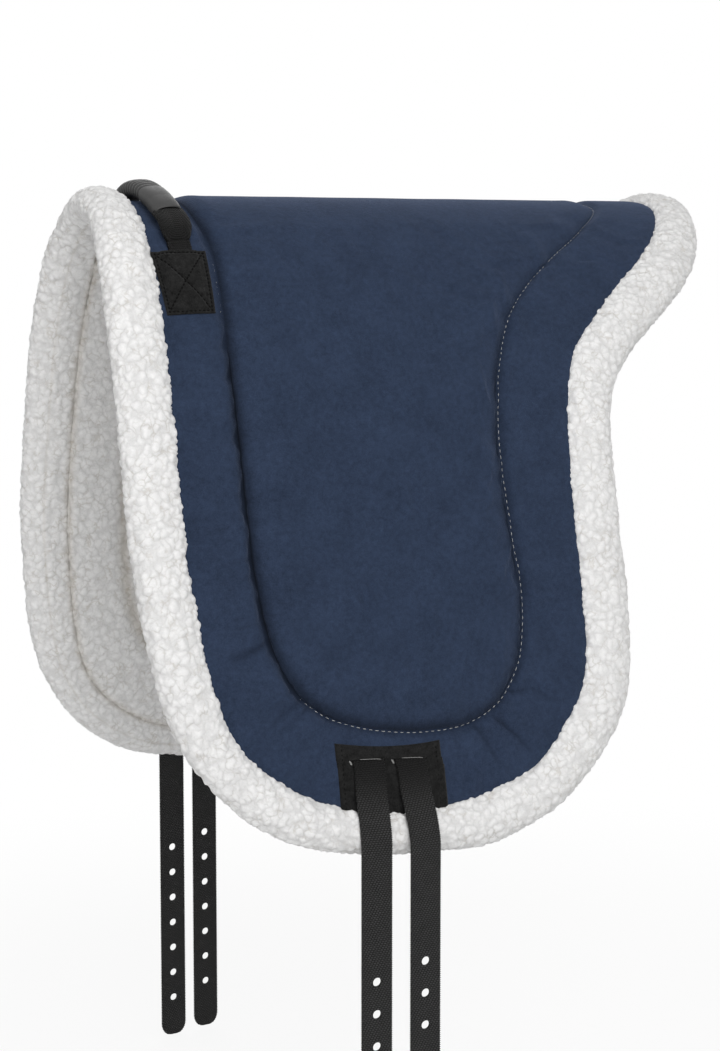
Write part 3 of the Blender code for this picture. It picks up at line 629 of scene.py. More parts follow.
def geometry_tree(name, **inputs):
    """A geometry tree with its wires, and the step that ends it: the result made real, and coated."""
    tree, given, leave = new_tree(name, "GeometryNodeTree", {"Geometry": "Geometry", **inputs, "Material": "Material"},
                                  {"Geometry": "Geometry"})

    def finish(geometry):
        whole = node(tree, "GeometryNodeRealizeInstances", geometry)
        feed(leave, Geometry=node(tree, "GeometryNodeSetMaterial", whole, Material=given["Material"]))
        return tree

    return tree, given, finish


def bake(obj, tree, **values):
    """Runs a geometry tree on an object and keeps the result as a plain mesh."""
    modifier = obj.modifiers.new("nodes", "NODES")
    modifier.node_group = tree
    for item in tree.interface.items_tree:
        if item.item_type == "SOCKET" and item.in_out == "INPUT" and item.name in values:
            modifier[item.identifier] = values[item.name]
    graph = bpy.context.evaluated_depsgraph_get()
    mesh = bpy.data.meshes.new_from_object(obj.evaluated_get(graph), depsgraph=graph)
    obj.modifiers.remove(modifier)
    old = obj.data
    mesh.name = obj.name
    obj.data = mesh
    bpy.data.meshes.remove(old)
    return obj


def clump_cells(vector, size):
    """Cells of the pile at a place: how far the nearest gap is, in clump widths, and a soft dome over each clump."""
    tree, spread = vector.tree, 1.0 / size
    bent = noise_of(vector, spread * 0.75, 2.0, "Color")
    centred = node(tree, "ShaderNodeVectorMath", bent, (0.5, 0.5, 0.5), operation="SUBTRACT")
    moved = node(tree, "ShaderNodeVectorMath", vector, scaled(centred, size * 1.7), operation="ADD")
    cell = {"out": "Distance", "Vector": moved, "Scale": spread, "Randomness": 1.0}
    edge = node(tree, "ShaderNodeTexVoronoi", feature="DISTANCE_TO_EDGE", **cell)
    soft = node(tree, "ShaderNodeTexVoronoi", feature="SMOOTH_F1", Smoothness=0.35, **cell)
    return edge, 1.0 - soft.calc("POWER", 1.6)


def pile_tree():
    """Raises clumps of pile on the parts of a mesh that its pile attribute marks."""
    tree, given, finish = geometry_tree("Fleece pile", Clump=0.0055, Height=0.002, Unevenness=0.002)
    where = node(tree, "GeometryNodeInputPosition")
    pile = node(tree, "GeometryNodeInputNamedAttribute", Name="pile", data_type="FLOAT")
    kept = node(tree, "GeometryNodeStoreNamedAttribute", Geometry=given["Geometry"], Name="laid", Value=where,
                data_type="FLOAT_VECTOR", domain="POINT")
    edge, dome = clump_cells(where, given["Clump"])
    spread = 1.0 / given["Clump"]
    fine, mid, slow = (noise_of(where, spread * share, 1.0) - 0.5 for share in (2.0, 0.5, 0.17))
    lump = edge.step(0.0, 0.3) * 0.35 + dome + fine * 0.8 + mid * 0.9
    rise = (lump - 0.85) * given["Height"] + slow * given["Unevenness"]
    offset = scaled(node(tree, "GeometryNodeInputNormal"), rise * pile)
    return finish(node(tree, "GeometryNodeSetPosition", Geometry=kept, Offset=offset))


def stitch_tree():
    """Lays thread along an edge line, each stitch turned to the line and to its up direction."""
    tree, given, finish = geometry_tree("Stitches", Pitch=0.0056, Length=0.004, Thread=0.0008, Seed=1)
    line = node(tree, "GeometryNodeMeshToCurve", given["Geometry"])
    even = node(tree, "GeometryNodeResampleCurve", Curve=line, Length=given["Pitch"], mode="LENGTH")
    up = node(tree, "GeometryNodeInputNamedAttribute", Name="up", data_type="FLOAT_VECTOR")
    tangent = node(tree, "GeometryNodeInputTangent")
    turn = node(tree, "FunctionNodeAlignRotationToVector", Vector=tangent, axis="X")
    turn = node(tree, "FunctionNodeAlignRotationToVector", Rotation=turn, Vector=up, axis="Z", pivot_axis="X")
    bead = node(tree, "GeometryNodeMeshUVSphere", out="Mesh", Segments=6, Rings=6, Radius=0.5)
    size = node(tree, "ShaderNodeCombineXYZ", given["Length"], given["Thread"], given["Thread"])
    dash = node(tree, "GeometryNodeTransform", Geometry=bead, Scale=size)
    vary = node(tree, "FunctionNodeRandomValue", (0.86, 0.9, 0.9), (1.1, 1.1, 1.1), Seed=given["Seed"],
                data_type="FLOAT_VECTOR")
    laid = node(tree, "GeometryNodeInstanceOnPoints", Points=even, Instance=dash, Rotation=turn, Scale=vary)
    whole = node(tree, "GeometryNodeRealizeInstances", laid)
    return finish(node(tree, "GeometryNodeSetShadeSmooth", whole))


def punch_tree():
    """Punches a row of round holes through a strap."""
    tree, given, finish = geometry_tree("Punched holes", Start=(0.0, 0.0, 0.0), Turn=0.0, Count=7, Spacing=0.025,
                                        Diameter=0.007)
    step = node(tree, "ShaderNodeCombineXYZ", Z=given["Spacing"] * -1.0)
    row = node(tree, "GeometryNodeMeshLine", Count=given["Count"], Start_Location=given["Start"], Offset=step,
               mode="OFFSET")
    drill = node(tree, "GeometryNodeMeshCylinder", out="Mesh", Vertices=28, Radius=given["Diameter"] * 0.5,
                 Depth=0.012)
    turn = node(tree, "ShaderNodeCombineXYZ", X=math.radians(90.0), Z=given["Turn"])
    drills = node(tree, "GeometryNodeInstanceOnPoints", Points=row, Instance=drill, Rotation=turn)
    solid = node(tree, "GeometryNodeRealizeInstances", drills)
    return finish(node(tree, "GeometryNodeMeshBoolean", given["Geometry"], solid, operation="DIFFERENCE",
                       solver="EXACT"))


# Materials

def object_place(tree):
    return node(tree, "ShaderNodeTexCoord", out="Object")


def attribute(tree, label, out="Fac"):
    return node(tree, "ShaderNodeAttribute", out=out, attribute_name=label)


def use_group(tree, name, maker, **inputs):
    """Height and shade of a cloth, from a node group that is made once."""
    group = bpy.data.node_groups.get(name)
    if not group:
        sockets = {label: "Vector" if label == "Vector" else 1.0 for label in inputs}
        group, given, leave = new_tree(name, "ShaderNodeTree", sockets, {"Height": "Float", "Shade": "Float"})
        height, shade = maker(*given.values())
        feed(leave, Height=height, Shade=shade)
    made = node(tree, "ShaderNodeGroup", node_tree=group, **inputs)
    return made, Wire(made.socket.node.outputs["Shade"])


def fibre_group(vector, fibre, blotch, contrast):
    """Fine fibres and soft blotches of a cloth: a height and a shade round 1."""
    fine = noise_of(vector, fibre, 3.0, Roughness=0.65)
    mid = noise_of(vector, fibre * 0.28, 2.0)
    slow = noise_of(vector, blotch, 3.0, Roughness=0.55)
    height = fine * 0.6 + mid * 0.4
    return height, (height * 0.75 + slow * 0.25 - 0.5) * (contrast * 4.0) + 1.0


def weave_group(vector, thread_width, row_length):
    """Ribbed webbing: rows across the strap, each broken into threads and shifted from the row before."""
    across, along = (node(vector.tree, "ShaderNodeSeparateXYZ", vector, out=axis) / size
                     for axis, size in enumerate((thread_width, row_length)))
    shifted = across + along.calc("FLOOR") * 0.36
    thread, row = ((turns * math.pi).calc("SINE").calc("ABSOLUTE") for turns in (shifted, along))
    height = thread.step(0.0, 1.0, 0.25, 1.0) * row.calc("POWER", 0.8)
    # The shade is painted shade and highlight: it follows the height, dark in the hollows between threads and rows and
    # up to twice as light on the thread tops.
    return height, height.step(0.05, 0.9, 0.08, 2.1)


def fibres(tree, fibre, blotch, contrast):
    return use_group(tree, "Cloth fibre", fibre_group, Vector=object_place(tree), Fibre=fibre, Blotch=blotch,
                     Contrast=contrast)


def new_material(name, roughness, sheen=0.0, sheen_roughness=0.5, specular=0.5):
    """A material, its tree and its shader."""
    material = bpy.data.materials.new(name)
    material.use_nodes = True
    shader = material.node_tree.nodes["Principled BSDF"]
    for label, value in (("Roughness", roughness), ("Sheen Weight", sheen), ("Sheen Roughness", sheen_roughness),
                         ("Specular IOR Level", specular)):
        shader.inputs[label].default_value = value
    return material, material.node_tree, shader


def tint(colour, shade):
    """A colour made lighter or darker by a shade round 1."""
    grey = node(shade.tree, "ShaderNodeCombineColor", shade, shade, shade)
    return mix_colour(shade.tree, 1.0, (*colour, 1.0), grey, "MULTIPLY")


def dress(shader, colour, height, distance, strength):
    """Gives a shader its colour and its bump."""
    bump = node(colour.tree, "ShaderNodeBump", Height=height, Distance=distance, Strength=strength)
    feed(shader, Base_Color=colour, Normal=bump)


def use_material(name, maker, *details):
    """The named material, made once."""
    return bpy.data.materials.get(name) or maker(name, *details)


def suede_material(name):
    """Navy suede: short nap with soft blotches where it has been brushed, with painted shade down in the seam and in
    the corner folds.
    """
    material, tree, shader = new_material(name, 0.9, 0.22, 0.5, 0.08)
    shader.inputs["Sheen Tint"].default_value = (0.42, 0.52, 0.78, 1.0)
    height, shade = fibres(tree, 900.0, 38.0, 0.52)
    # Painted shade: the crease attribute darkens the suede down to 0.15 of its colour in the seam and in the corner
    # folds.
    shade = shade * attribute(tree, "crease").step(0.0, 1.0, 1.0, 0.15)
    dress(shader, tint(settings("colours").suede, shade), height, 0.0009, 0.8)
    return material


def fleece_material(name):
    """Teddy fleece: pale clumps with painted shade between them, greyer and tan in some of the gaps where the backing
    shows and painted shade falls, and painted shade in the backing's tan in the folds and crevices.
    """
    material, tree, shader = new_material(name, 0.95, 0.25, 0.6, 0.1)
    colours = settings("colours")
    size = node(tree, "ShaderNodeValue")
    size.socket.default_value = settings("fleece").clump
    edge, dome = clump_cells(attribute(tree, "laid", "Vector"), size)
    where = object_place(tree)
    curls = noise_of(where, 520.0, 4.0, Roughness=0.6, Distortion=1.0)
    spots = noise_of(where, 110.0, 3.0)
    gap = (1.0 - edge / spots.step(0.35, 0.7, 0.04, 0.12)).calc("MAXIMUM", 0.0)
    # deep mixes in the backing colour: in the gaps it is partly the backing showing and partly painted shade, and
    # where the crease attribute is set it is painted shade.
    deep = gap * (spots.step(0.42, 0.72) * 0.36 + 0.05) + attribute(tree, "crease") * 0.55
    # Painted shade and highlight: each clump is darker towards its edges and a little lighter on its dome.
    pale = tint(colours.fleece, curls.step(0.25, 0.75, 0.93, 1.03) * dome.step(0.45, 0.95, 0.9, 1.03))
    colour = mix_colour(tree, deep.calc("MINIMUM", 1.0), pale, (*colours.backing, 1.0))
    dress(shader, colour, dome * 0.8 + curls * 0.5 - gap * 0.3, 0.0012, 0.6)
    return material


def webbing_material(name, thread, row):
    """Ribbed webbing, with painted shadow at its start where it comes out from under a patch or a grip."""
    material, tree, shader = new_material(name, 0.62, 0.05, 0.4, 0.14)
    pattern = node(tree, "ShaderNodeTexCoord", out="UV")
    height, rows = use_group(tree, "Webbing weave", weave_group, Vector=pattern, Thread=thread, Row=row)
    nap, shade = fibres(tree, 1300.0, 130.0, 0.5)
    run = node(tree, "ShaderNodeSeparateXYZ", pattern, out=1)
    # Painted shadow: the strip is darkened to 0.15 over its first 6 to 50 mm, where it comes out from under a patch;
    # rows is the weave's painted shade and highlight.
    shade = rows * shade * run.step(0.006, 0.05, 0.15, 1.0)
    dress(shader, tint(settings("colours").webbing, shade), height + nap * 0.3, 0.0006, 1.0)
    return material


def thread_material(name, colour, roughness):
    material, tree, shader = new_material(name, roughness, 0.0, 0.5, 0.1)
    twist = node(tree, "ShaderNodeTexWave", out="Fac", Vector=object_place(tree), Scale=900.0, Distortion=2.0,
                 bands_direction="DIAGONAL")
    dress(shader, tint(colour, twist.step(0.0, 1.0, 0.75, 1.08)), twist, 0.0001, 0.6)
    return material


def fibre_material(name, look, colour, grain, bump, worn=None):
    """A plain cloth, or rubber: a colour under fine fibres, duller where they are high if it is worn."""
    material, tree, shader = new_material(name, *look)
    height, shade = fibres(tree, *grain)
    dress(shader, tint(colour, shade), height, *bump)
    if worn:
        feed(shader, Roughness=height.step(0.3, 0.7, *worn))
    return material


def patch_material():
    return use_material("Patch cloth", fibre_material, (0.92, 0.08, 0.5, 0.06), settings("colours").patch,
                        (850.0, 160.0, 1.2), (0.0012, 0.9))


# Pieces of the pad

def bend_with_flap(obj, word):
    """Bakes a soft piece's transform into its mesh; it finds the direction down across its flap's hinge line, but the
    piece is not bent.
    """
    joint = next(item for item in frame["joints"] if item["name"] == word + "_flap_lift")
    middle = Vector(joint["pos_m"])
    axis = Vector(joint["axis"]).normalized()
    down = Vector(np.subtract(*(drape(middle.x / MM, HINGE_T + step, 0.0, SIDES[word]) for step in (5.0, -5.0))))
    down = (down - axis * down.dot(axis)).normalized() * BEND_REACH * MM
    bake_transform(obj)


def spine_fade(t):
    """1 on the spine, down to 0 at 75 mm from it."""
    return unit(1.0 - (t / 75.0) ** 2)


def border_height(grid):
    """Height of the suede outside the quilting seam: softly filled, and pressed down under the handle."""
    shape = settings("shape")
    outward, to_edge, t = -grid.seam_distance, grid.edge_distance, grid.points[:, 1]
    height = -shape.seam_depth / MM * np.cos(unit(outward / 8.0) * math.pi / 2)
    height = height + 0.7 * rounded(outward, 24.0) * rounded(to_edge, 20.0) - 0.9 * (1 - rounded(to_edge, 9.0))
    front = (grid.places >= 0.0) & (grid.places < 3.0)
    pressed = shape.pommel_dip / MM * spine_fade(t) + bell(t - 88.0, 8.0)
    return height - np.where(front, pressed * rounded(outward, 16.0), 0.0)


def cover_height(grid):
    """Height of the suede over the pattern: crowned panel, drawn-in seam, softly filled border."""
    shape = settings("shape")
    seam = -shape.seam_depth / MM
    inward = grid.seam_distance
    rise = 0.3 * rounded(inward, 19.0) + 0.7 * np.sin(unit(inward / 19.0) * math.pi / 2)
    inside = seam + (shape.panel_crown / MM - seam) * rise
    inside = inside - shape.spine_dip / MM * spine_fade(grid.points[:, 1]) * rounded(inward, 30.0)
    return np.where(inward > 0.0, inside, border_height(grid))


def clear_of_patches(points):
    """0 under the patches and 1 from 12 mm beside them, where the cover may move freely."""
    free = np.ones(len(points))
    for low_x, high_x, low_t, high_t in (HANDLE_PATCH, GIRTH_PATCH_AREA):
        beside = np.maximum(np.maximum((low_x, low_t) - points, points - (high_x, high_t)), 0.0)
        free = np.minimum(free, unit(np.hypot(*beside.T) / 12.0))
    return free


def corner_folds(grid):
    """The folds that run out from the seam's lower corners: 1 at the deepest, 0 beside them."""
    outward = np.where(grid.places >= 0.0, -grid.seam_distance, 0.0)
    total = np.zeros(len(grid.points))
    for start, end, width, depth in FOLDS:
        start, run = np.array(start), np.subtract(end, start)
        length = np.linalg.norm(run)
        along = (grid.points - start) @ run / length ** 2
        aside = (grid.points - start) @ (-run[1], run[0]) / length
        aside = aside + 1.4 * np.sin(4.2 * along + start[0])
        shape = bell(aside, width) * np.interp(along, (-0.1, 0.12, 0.7, 1.25), (0.0, 1.0, 0.8, 0.0))
        total = np.maximum(total, depth * shape)
    return total * unit(outward / 3.0)


def puckers(grid, side):
    """Gathers that run out from the quilting seam, the folds of its lower corners, and slow padding waves."""
    away = np.abs(grid.seam_distance)
    near = np.exp(-away / 8.0) * (1 - np.exp(-away / 1.5))
    waves = 0.5 * uneven(grid.points, 10.0, 3.0, side) * near + 0.3 * uneven(grid.points, 46.0, 12.0, side)
    return waves * clear_of_patches(grid.points) - 1.9 * corner_folds(grid)


def settle_cloth(fine, side):
    """How the cover cloth moves when it is a little too large for its padding; pinned at its seams."""
    grid = fine.coarser(2)
    points = drape(*grid.points.T, cover_height(grid), side)
    sheet = new_mesh("settling_sheet", points, facing(grid, points, side, 1))
    held = sheet.vertex_groups.new(name="held")
    away = np.abs(grid.seam_distance)
    weights = np.clip(0.04 + 0.5 * (away - 14.0) / 20.0, 0.04, 0.5)
    weights = np.where((away < 0.3) | (grid.edge_distance < 4.0) | (grid.points[:, 1] < 2.0), 1.0, weights)
    for index, weight in enumerate(weights):
        held.add([index], float(weight), "REPLACE")
    cloth = sheet.modifiers.new("cloth", "CLOTH")
    for key, value in CLOTH.items():
        setattr(cloth.settings, key, value)
    cloth.settings.effector_weights.gravity = 0.0
    cloth.collision_settings.use_collision = False
    cloth.collision_settings.use_self_collision = False
    cloth.point_cache.frame_start = 1
    cloth.point_cache.frame_end = CLOTH_FRAMES
    scene = bpy.context.scene
    for step in range(1, CLOTH_FRAMES + 1):
        scene.frame_set(step)
    settled = sheet.evaluated_get(bpy.context.evaluated_depsgraph_get()).to_mesh()
    places = np.empty(len(points) * 3)
    settled.vertices.foreach_get("co", places)
    free = clear_of_patches(grid.points) * unit((grid.points[:, 1] - 50.0) / 90.0)
    moved = (places.reshape(-1, 3) - points) * free[:, None]
    bpy.data.objects.remove(sheet, do_unlink=True)
    scene.frame_set(1)
    length = np.linalg.norm(moved, axis=1)[:, None]
    cap = settings("shape").settling
    moved = moved * (cap * np.tanh(length / cap) / np.maximum(length, 1e-9))
    band = moved[:(grid.band + 1) * grid.stations].reshape(grid.band + 1, grid.stations, 3)
    panel = np.array([[moved[grid.index(row, column)] for column in range(grid.across + 1)]
                      for row in range(grid.down + 1)])
    band, panel = (doubled(doubled(part, 0), 1) for part in (band, panel))
    return np.concatenate((band.reshape(-1, 3), panel[:-1, 1:-1].reshape(-1, 3)))


def make_cover(word):
    """The suede with its padding; its crease attribute is painted shade, darkening it in the seam and in the corner
    folds.
    """
    side = SIDES[word]
    grid = HalfGrid(*COVER_GRID)
    points = drape(*grid.points.T, cover_height(grid) + puckers(grid, side), side)
    points = points + settle_cloth(grid, side)
    points[:, 1] = side * np.maximum(side * points[:, 1], 0.0)
    away, (x, t) = grid.seam_distance, grid.points.T
    # Painted shade for the crease attribute: seam_line_shade is a thin dark line in the seam, mostly along the front;
    # inside is a soft dark band on the panel side of the seam, weaker at the top rear; soft is a dark band on the
    # border side; the corner folds are darkened too.
    seam_line_shade = np.interp(grid.places, (0, 1, 2, 3, 3.6, 6.5, 8.2, 9, 27, 28),
                      (0.9, 0.9, 0.35, 0.35, 1.0, 1.0, 0.6, 0.2, 0.2, 0.5))
    soft = np.interp(grid.places, (0, 3, 3.6, 8, 9, 28), (0.48, 0.48, 0.8, 0.8, 0.48, 0.48))
    low = unit((t - 395.0) / 60.0)
    rear_top = unit((230.0 - t) / 110.0) * unit(x / 40.0)
    inside = 0.1 * bell(away, 1.0) + (0.66 - 0.34 * rear_top) * bell(away, 7.0 + 2.0 * low)
    crease = np.where(away > 0.0, inside, np.maximum(seam_line_shade * bell(away, 0.9), soft * bell(away, 6.0)))
    cover = new_mesh(word + "_suede_cover", points, grid.faces,
                     crease=np.maximum(crease, 0.52 * corner_folds(grid)))
    close_with(cover, grid, COVER_HIDDEN, side)
    coat(cover, use_material("Suede", suede_material))
    bend_with_flap(cover, word)
    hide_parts("seat_cover", "seat_foam", word + "_flap_cover", word + "_flap_foam")


def raise_pile(obj, pile, share):
    """Bakes the pile onto a piece; share says how much of the pile's unevenness it has."""
    fleece = settings("fleece")
    bake(obj, pile, Clump=fleece.clump, Height=fleece.height, Unevenness=fleece.wander * share,
         Material=use_material("Fleece", fleece_material))


def make_lining(word, pile):
    side = SIDES[word]
    grid = HalfGrid(*LINING_GRID)
    away = np.abs(grid.seam_distance)
    height = LINING_HEIGHT - 2.8 * (1 - bell(away, 8.0)) + 3.1 * (1 - rounded(grid.edge_distance, 9.0))
    height = height + 0.5 * uneven(grid.points, 30.0, 5.0, side)
    points = drape(*grid.points.T, height, side)
    # Painted shade, in the backing's tan: the crease attribute darkens the lining down its quilting seam and along its
    # edge against the roll.
    lining = new_mesh(word + "_fleece_lining", points, facing(grid, points, side, -1), pile=np.ones(len(points)),
                      crease=np.maximum(0.9 * bell(away, 6.0), 0.75 * bell(grid.edge_distance, 4.0)))
    raise_pile(lining, pile, 0.5)
    close_with(lining, grid, LINING_HIDDEN, side)
    bend_with_flap(lining, word)
    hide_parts("seat_lining", word + "_flap_lining")


def make_roll(word, pile):
    """The fleece roll: a tube of pile round the edge, pressed down under the grip and closed at the spine."""
    side = SIDES[word]
    places = even_places(EDGE, 0, LAST, ROLL_STEPS)
    _, edge, rim = band_lines(places)
    ring = np.array(ROLL_SECTION + ROLL_SECTION[:1])
    ring = smooth_line(ring, even_places(ring * (36.0, 1.0, 0.0), 0, len(ROLL_SECTION), ROLL_SIDES)[:-1])
    count = len(ring)
    shares, heights, marks = np.tile(ring, (len(places), 1)).T
    flat = np.repeat(edge, count, 0) * (1 - shares)[:, None] + np.repeat(rim, count, 0) * shares[:, None]
    under_grip = 1.3 + 1.5 * unit(1.0 - shares / 0.4) * (marks > 0.5)
    swell = 0.8 * uneven(flat, 60.0, 7.0, side) * marks - under_grip * spine_fade(flat[:, 1]) * (flat[:, 0] < 0.0)
    # Painted shade on the roll's underside, in the backing's tan: a thin line at its fold, partly the backing showing
    # there, and a band in the crevice where the roll meets the lining.
    fold_and_crevice_shade = np.maximum(0.7 * bell(shares - 0.55, 0.02), 0.75 * bell(shares, 0.09)) * (heights < -15.0)
    faces = cells(len(places) - 1, count, lambda row, column: row * count + column % count)
    roll = new_mesh(word + "_fleece_roll", drape(*flat.T, heights + swell, side), faces, pile=marks, crease=fold_and_crevice_shade)
    edit_mesh(roll)
    raise_pile(roll, pile, 1.0)

    def close_ends(work):
        for start in (0, len(work.verts) - count):
            work.faces.new([work.verts[start + index] for index in range(count)]).smooth = False

    edit_mesh(roll, close_ends)
    bend_with_flap(roll, word)
    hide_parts(word + "_flap_roll", "pommel_roll", "cantle_roll")


def sew(name, stitches, runs, ups, material=None, **sizes):
    """Lays thread along runs of points, with an up direction at each; it is black if no material is given."""
    mesh = bpy.data.meshes.new(name)
    edges = []
    for run in runs:
        base = len(edges) and edges[-1][1] + 1
        edges += [(base + step, base + step + 1) for step in range(len(run) - 1)]
    mesh.from_pydata(np.concatenate(runs).tolist(), edges, [])
    made = mesh.attributes.new("up", "FLOAT_VECTOR", "POINT")
    made.data.foreach_set("vector", np.concatenate(ups).astype(np.float32).ravel())
    material = material or use_material("Black thread", thread_material, BLACK, 0.9)
    return bake(linked(name, mesh), stitches, Material=material, **sizes)


def make_quilting(word, stitches):
    """The quilting thread: it sits deep in the seam at the front and shows more along the bottom and the rear."""
    side = SIDES[word]
    places = even_places(SEAM, 0, LAST, QUILTING_STEPS)
    seam, edge, _ = band_lines(places)
    laid = seam + normed(edge - seam) * 1.1
    shown = np.interp(places, (1.7, 2.1, 2.9, 3.2, 5.6, 6.4, 7.8, 9.2, 15, 20, 28),
                      (-1.2, 0.35, 0.35, -1.2, -1.2, -0.05, 0.1, 0.85, 1.0, 0.7, 0.6))
    normals = surface_normal(*laid.T, side)
    cover = bpy.data.objects[word + "_suede_cover"].data
    suede = BVHTree.FromPolygons([vert.co for vert in cover.vertices], [face.vertices for face in cover.polygons])
    points = []
    for above, normal, share in zip(drape(*laid.T, 9.0, side), normals, shown):
        found = suede.ray_cast(Vector(above), Vector(-normal), 0.025)[0] or Vector(above - 11.0 * MM * normal)
        points.append(np.array(found) + normal * (0.45 * share - 0.3) * MM)
    pitch = settings("trim").stitch_pitch
    material = use_material("Quilting thread", thread_material, settings("colours").thread, 0.6)
    thread = sew(word + "_quilting_thread", stitches, [points], [normals], material, Pitch=pitch, Length=pitch * 0.6,
                 Thread=0.00028, Seed=2)
    bend_with_flap(thread, word)


def laid_sheet(name, x, t, top, bottom, side):
    """A closed sheet on the pad from arrays of rows and columns."""
    rows, columns = x.shape
    count = rows * columns
    points = np.concatenate([drape(x.ravel(), t.ravel(), height.ravel(), side) for height in (top, bottom)])
    index = np.arange(count).reshape(rows, columns)
    faces = cells(rows - 1, columns - 1, lambda row, column: int(index[row, column]))
    loop = np.concatenate((index[0], index[1:, -1], index[-1, -2::-1], index[-2:0:-1, 0])).tolist()
    rim = [(b, a, a + count, b + count) for a, b in zip(loop, loop[1:] + loop[:1])]
    made = new_mesh(name, points, faces + [tuple(place + count for place in face[::-1]) for face in faces] + rim)
    edit_mesh(made)
    return made


def line_distance(x, t, a, b):
    """Distance of pattern points from a straight line between two points."""
    run = np.subtract(b, a)
    share = unit(((x - a[0]) * run[0] + (t - a[1]) * run[1]) / (run @ run))
    return np.hypot(x - a[0] - run[0] * share, t - a[1] - run[1] * share)


def box_lines():
    """The box and cross of stitching on a handle patch, set in from its edges."""
    low_x, high_x, low_t, high_t = np.add(HANDLE_PATCH, np.multiply((1, -1, 1, -1), HANDLE_STITCH_INSET))
    a, b, c, d = (low_x, low_t), (high_x, low_t), (high_x, high_t), (low_x, high_t)
    return [(a, b), (b, c), (c, d), (d, a), (a, c), (b, d)]


def handle_patch_height(x, t):
    """Top of the handle patch: it bulges over the webbing end and is pulled down by its stitching."""
    low_x, high_x, low_t, high_t = HANDLE_PATCH
    height = 2.3 + 1.5 * rounded(14.0 - np.abs(x - HANDLE_X), 6.0) * rounded(high_t - 4.0 - t, 9.0)
    pull = np.max([bell(line_distance(x, t, a, b), 1.2) for a, b in box_lines()], axis=0)
    rim = np.minimum(np.minimum(x - low_x, high_x - x), np.minimum(t - low_t, high_t - t))
    return height - 1.1 * pull - 0.9 * (1 - rounded(rim, 1.6))


def patch_corner(x, t):
    """The patch is cut wider at its upper front corner, up to the fleece, and drawn in at its lower rear one."""
    low_x, high_x, low_t, high_t = HANDLE_PATCH
    front = (high_x - x) / (high_x - low_x)
    low = (t - low_t) / (high_t - low_t)
    return x - 3.6 * front * (1 - low) - 2.6 * (1 - front) * low


def ragged(x, t, size, seed, side):
    return uneven(np.stack((x.ravel(), t.ravel()), 1), size, seed, side).reshape(x.shape)


def make_handle_patch(word, stitches):
    side = SIDES[word]
    low_x, high_x, low_t, high_t = HANDLE_PATCH
    x, t = np.meshgrid(np.linspace(low_x, high_x, 56), np.linspace(low_t, high_t, 72))
    top = handle_patch_height(x, t) + 0.25 * ragged(x, t, 7.0, 2.0, side)
    bottom = np.where(np.abs(x - HANDLE_X) < 11.0, 1.6, 0.3)
    patch = laid_sheet(word + "_handle_patch_cloth", patch_corner(x, t), t, top, bottom, side)
    coat(patch, patch_material())
    bend_with_flap(patch, word)
    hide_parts(word + "_handle_patch", word + "_handle_end")
    lines = [np.linspace(a, b, 60).T for a, b in box_lines()]
    runs = [drape(patch_corner(x, t), t, handle_patch_height(x, t) + 0.05, side) for x, t in lines]
    ups = [surface_normal(patch_corner(x, t), t, side) for x, t in lines]
    thread = sew(word + "_handle_patch_thread", stitches, runs, ups, Pitch=0.0033, Length=0.0026, Thread=0.0015,
                 Seed=5)
    bend_with_flap(thread, word)


def edge_at(x):
    """How far down the side the cover's edge lies at x, along the bottom."""
    edge = band_lines(np.linspace(FRONT_CORNER, REAR_CORNER, 241))[1]
    return np.interp(x, edge[:, 0], edge[:, 1])


def spaced(stops, step):
    """Places through all the stops, at most a step apart."""
    parts = [np.linspace(a, b, int(math.ceil((b - a) / step)) + 1)[:-1] for a, b in zip(stops, stops[1:])]
    return np.concatenate(parts + [np.array(stops[-1:], float)])


def girth_patch_place(x, row):
    """Distance down the side at x for a row: 0 at the patch's hollow top edge, 5 where it goes under the roll."""
    share = (x - GIRTH_COLUMNS[0]) / (GIRTH_COLUMNS[-1] - GIRTH_COLUMNS[0])
    tilt = GIRTH_PATCH_TILT * (x - GIRTH_PATCH_MIDDLE)
    top = GIRTH_ROWS[0] + 3.5 * (1 - (2 * share - 1) ** 2)
    stops = [top] + [np.full_like(x, value) for value in GIRTH_ROWS[1:]] + [edge_at(x) + 1.0 - tilt]
    whole = np.clip(np.floor(row).astype(int), 0, 4)
    low, high = np.choose(whole, stops[:-1]), np.choose(whole, stops[1:])
    return low + (high - low) * (row - whole) + tilt


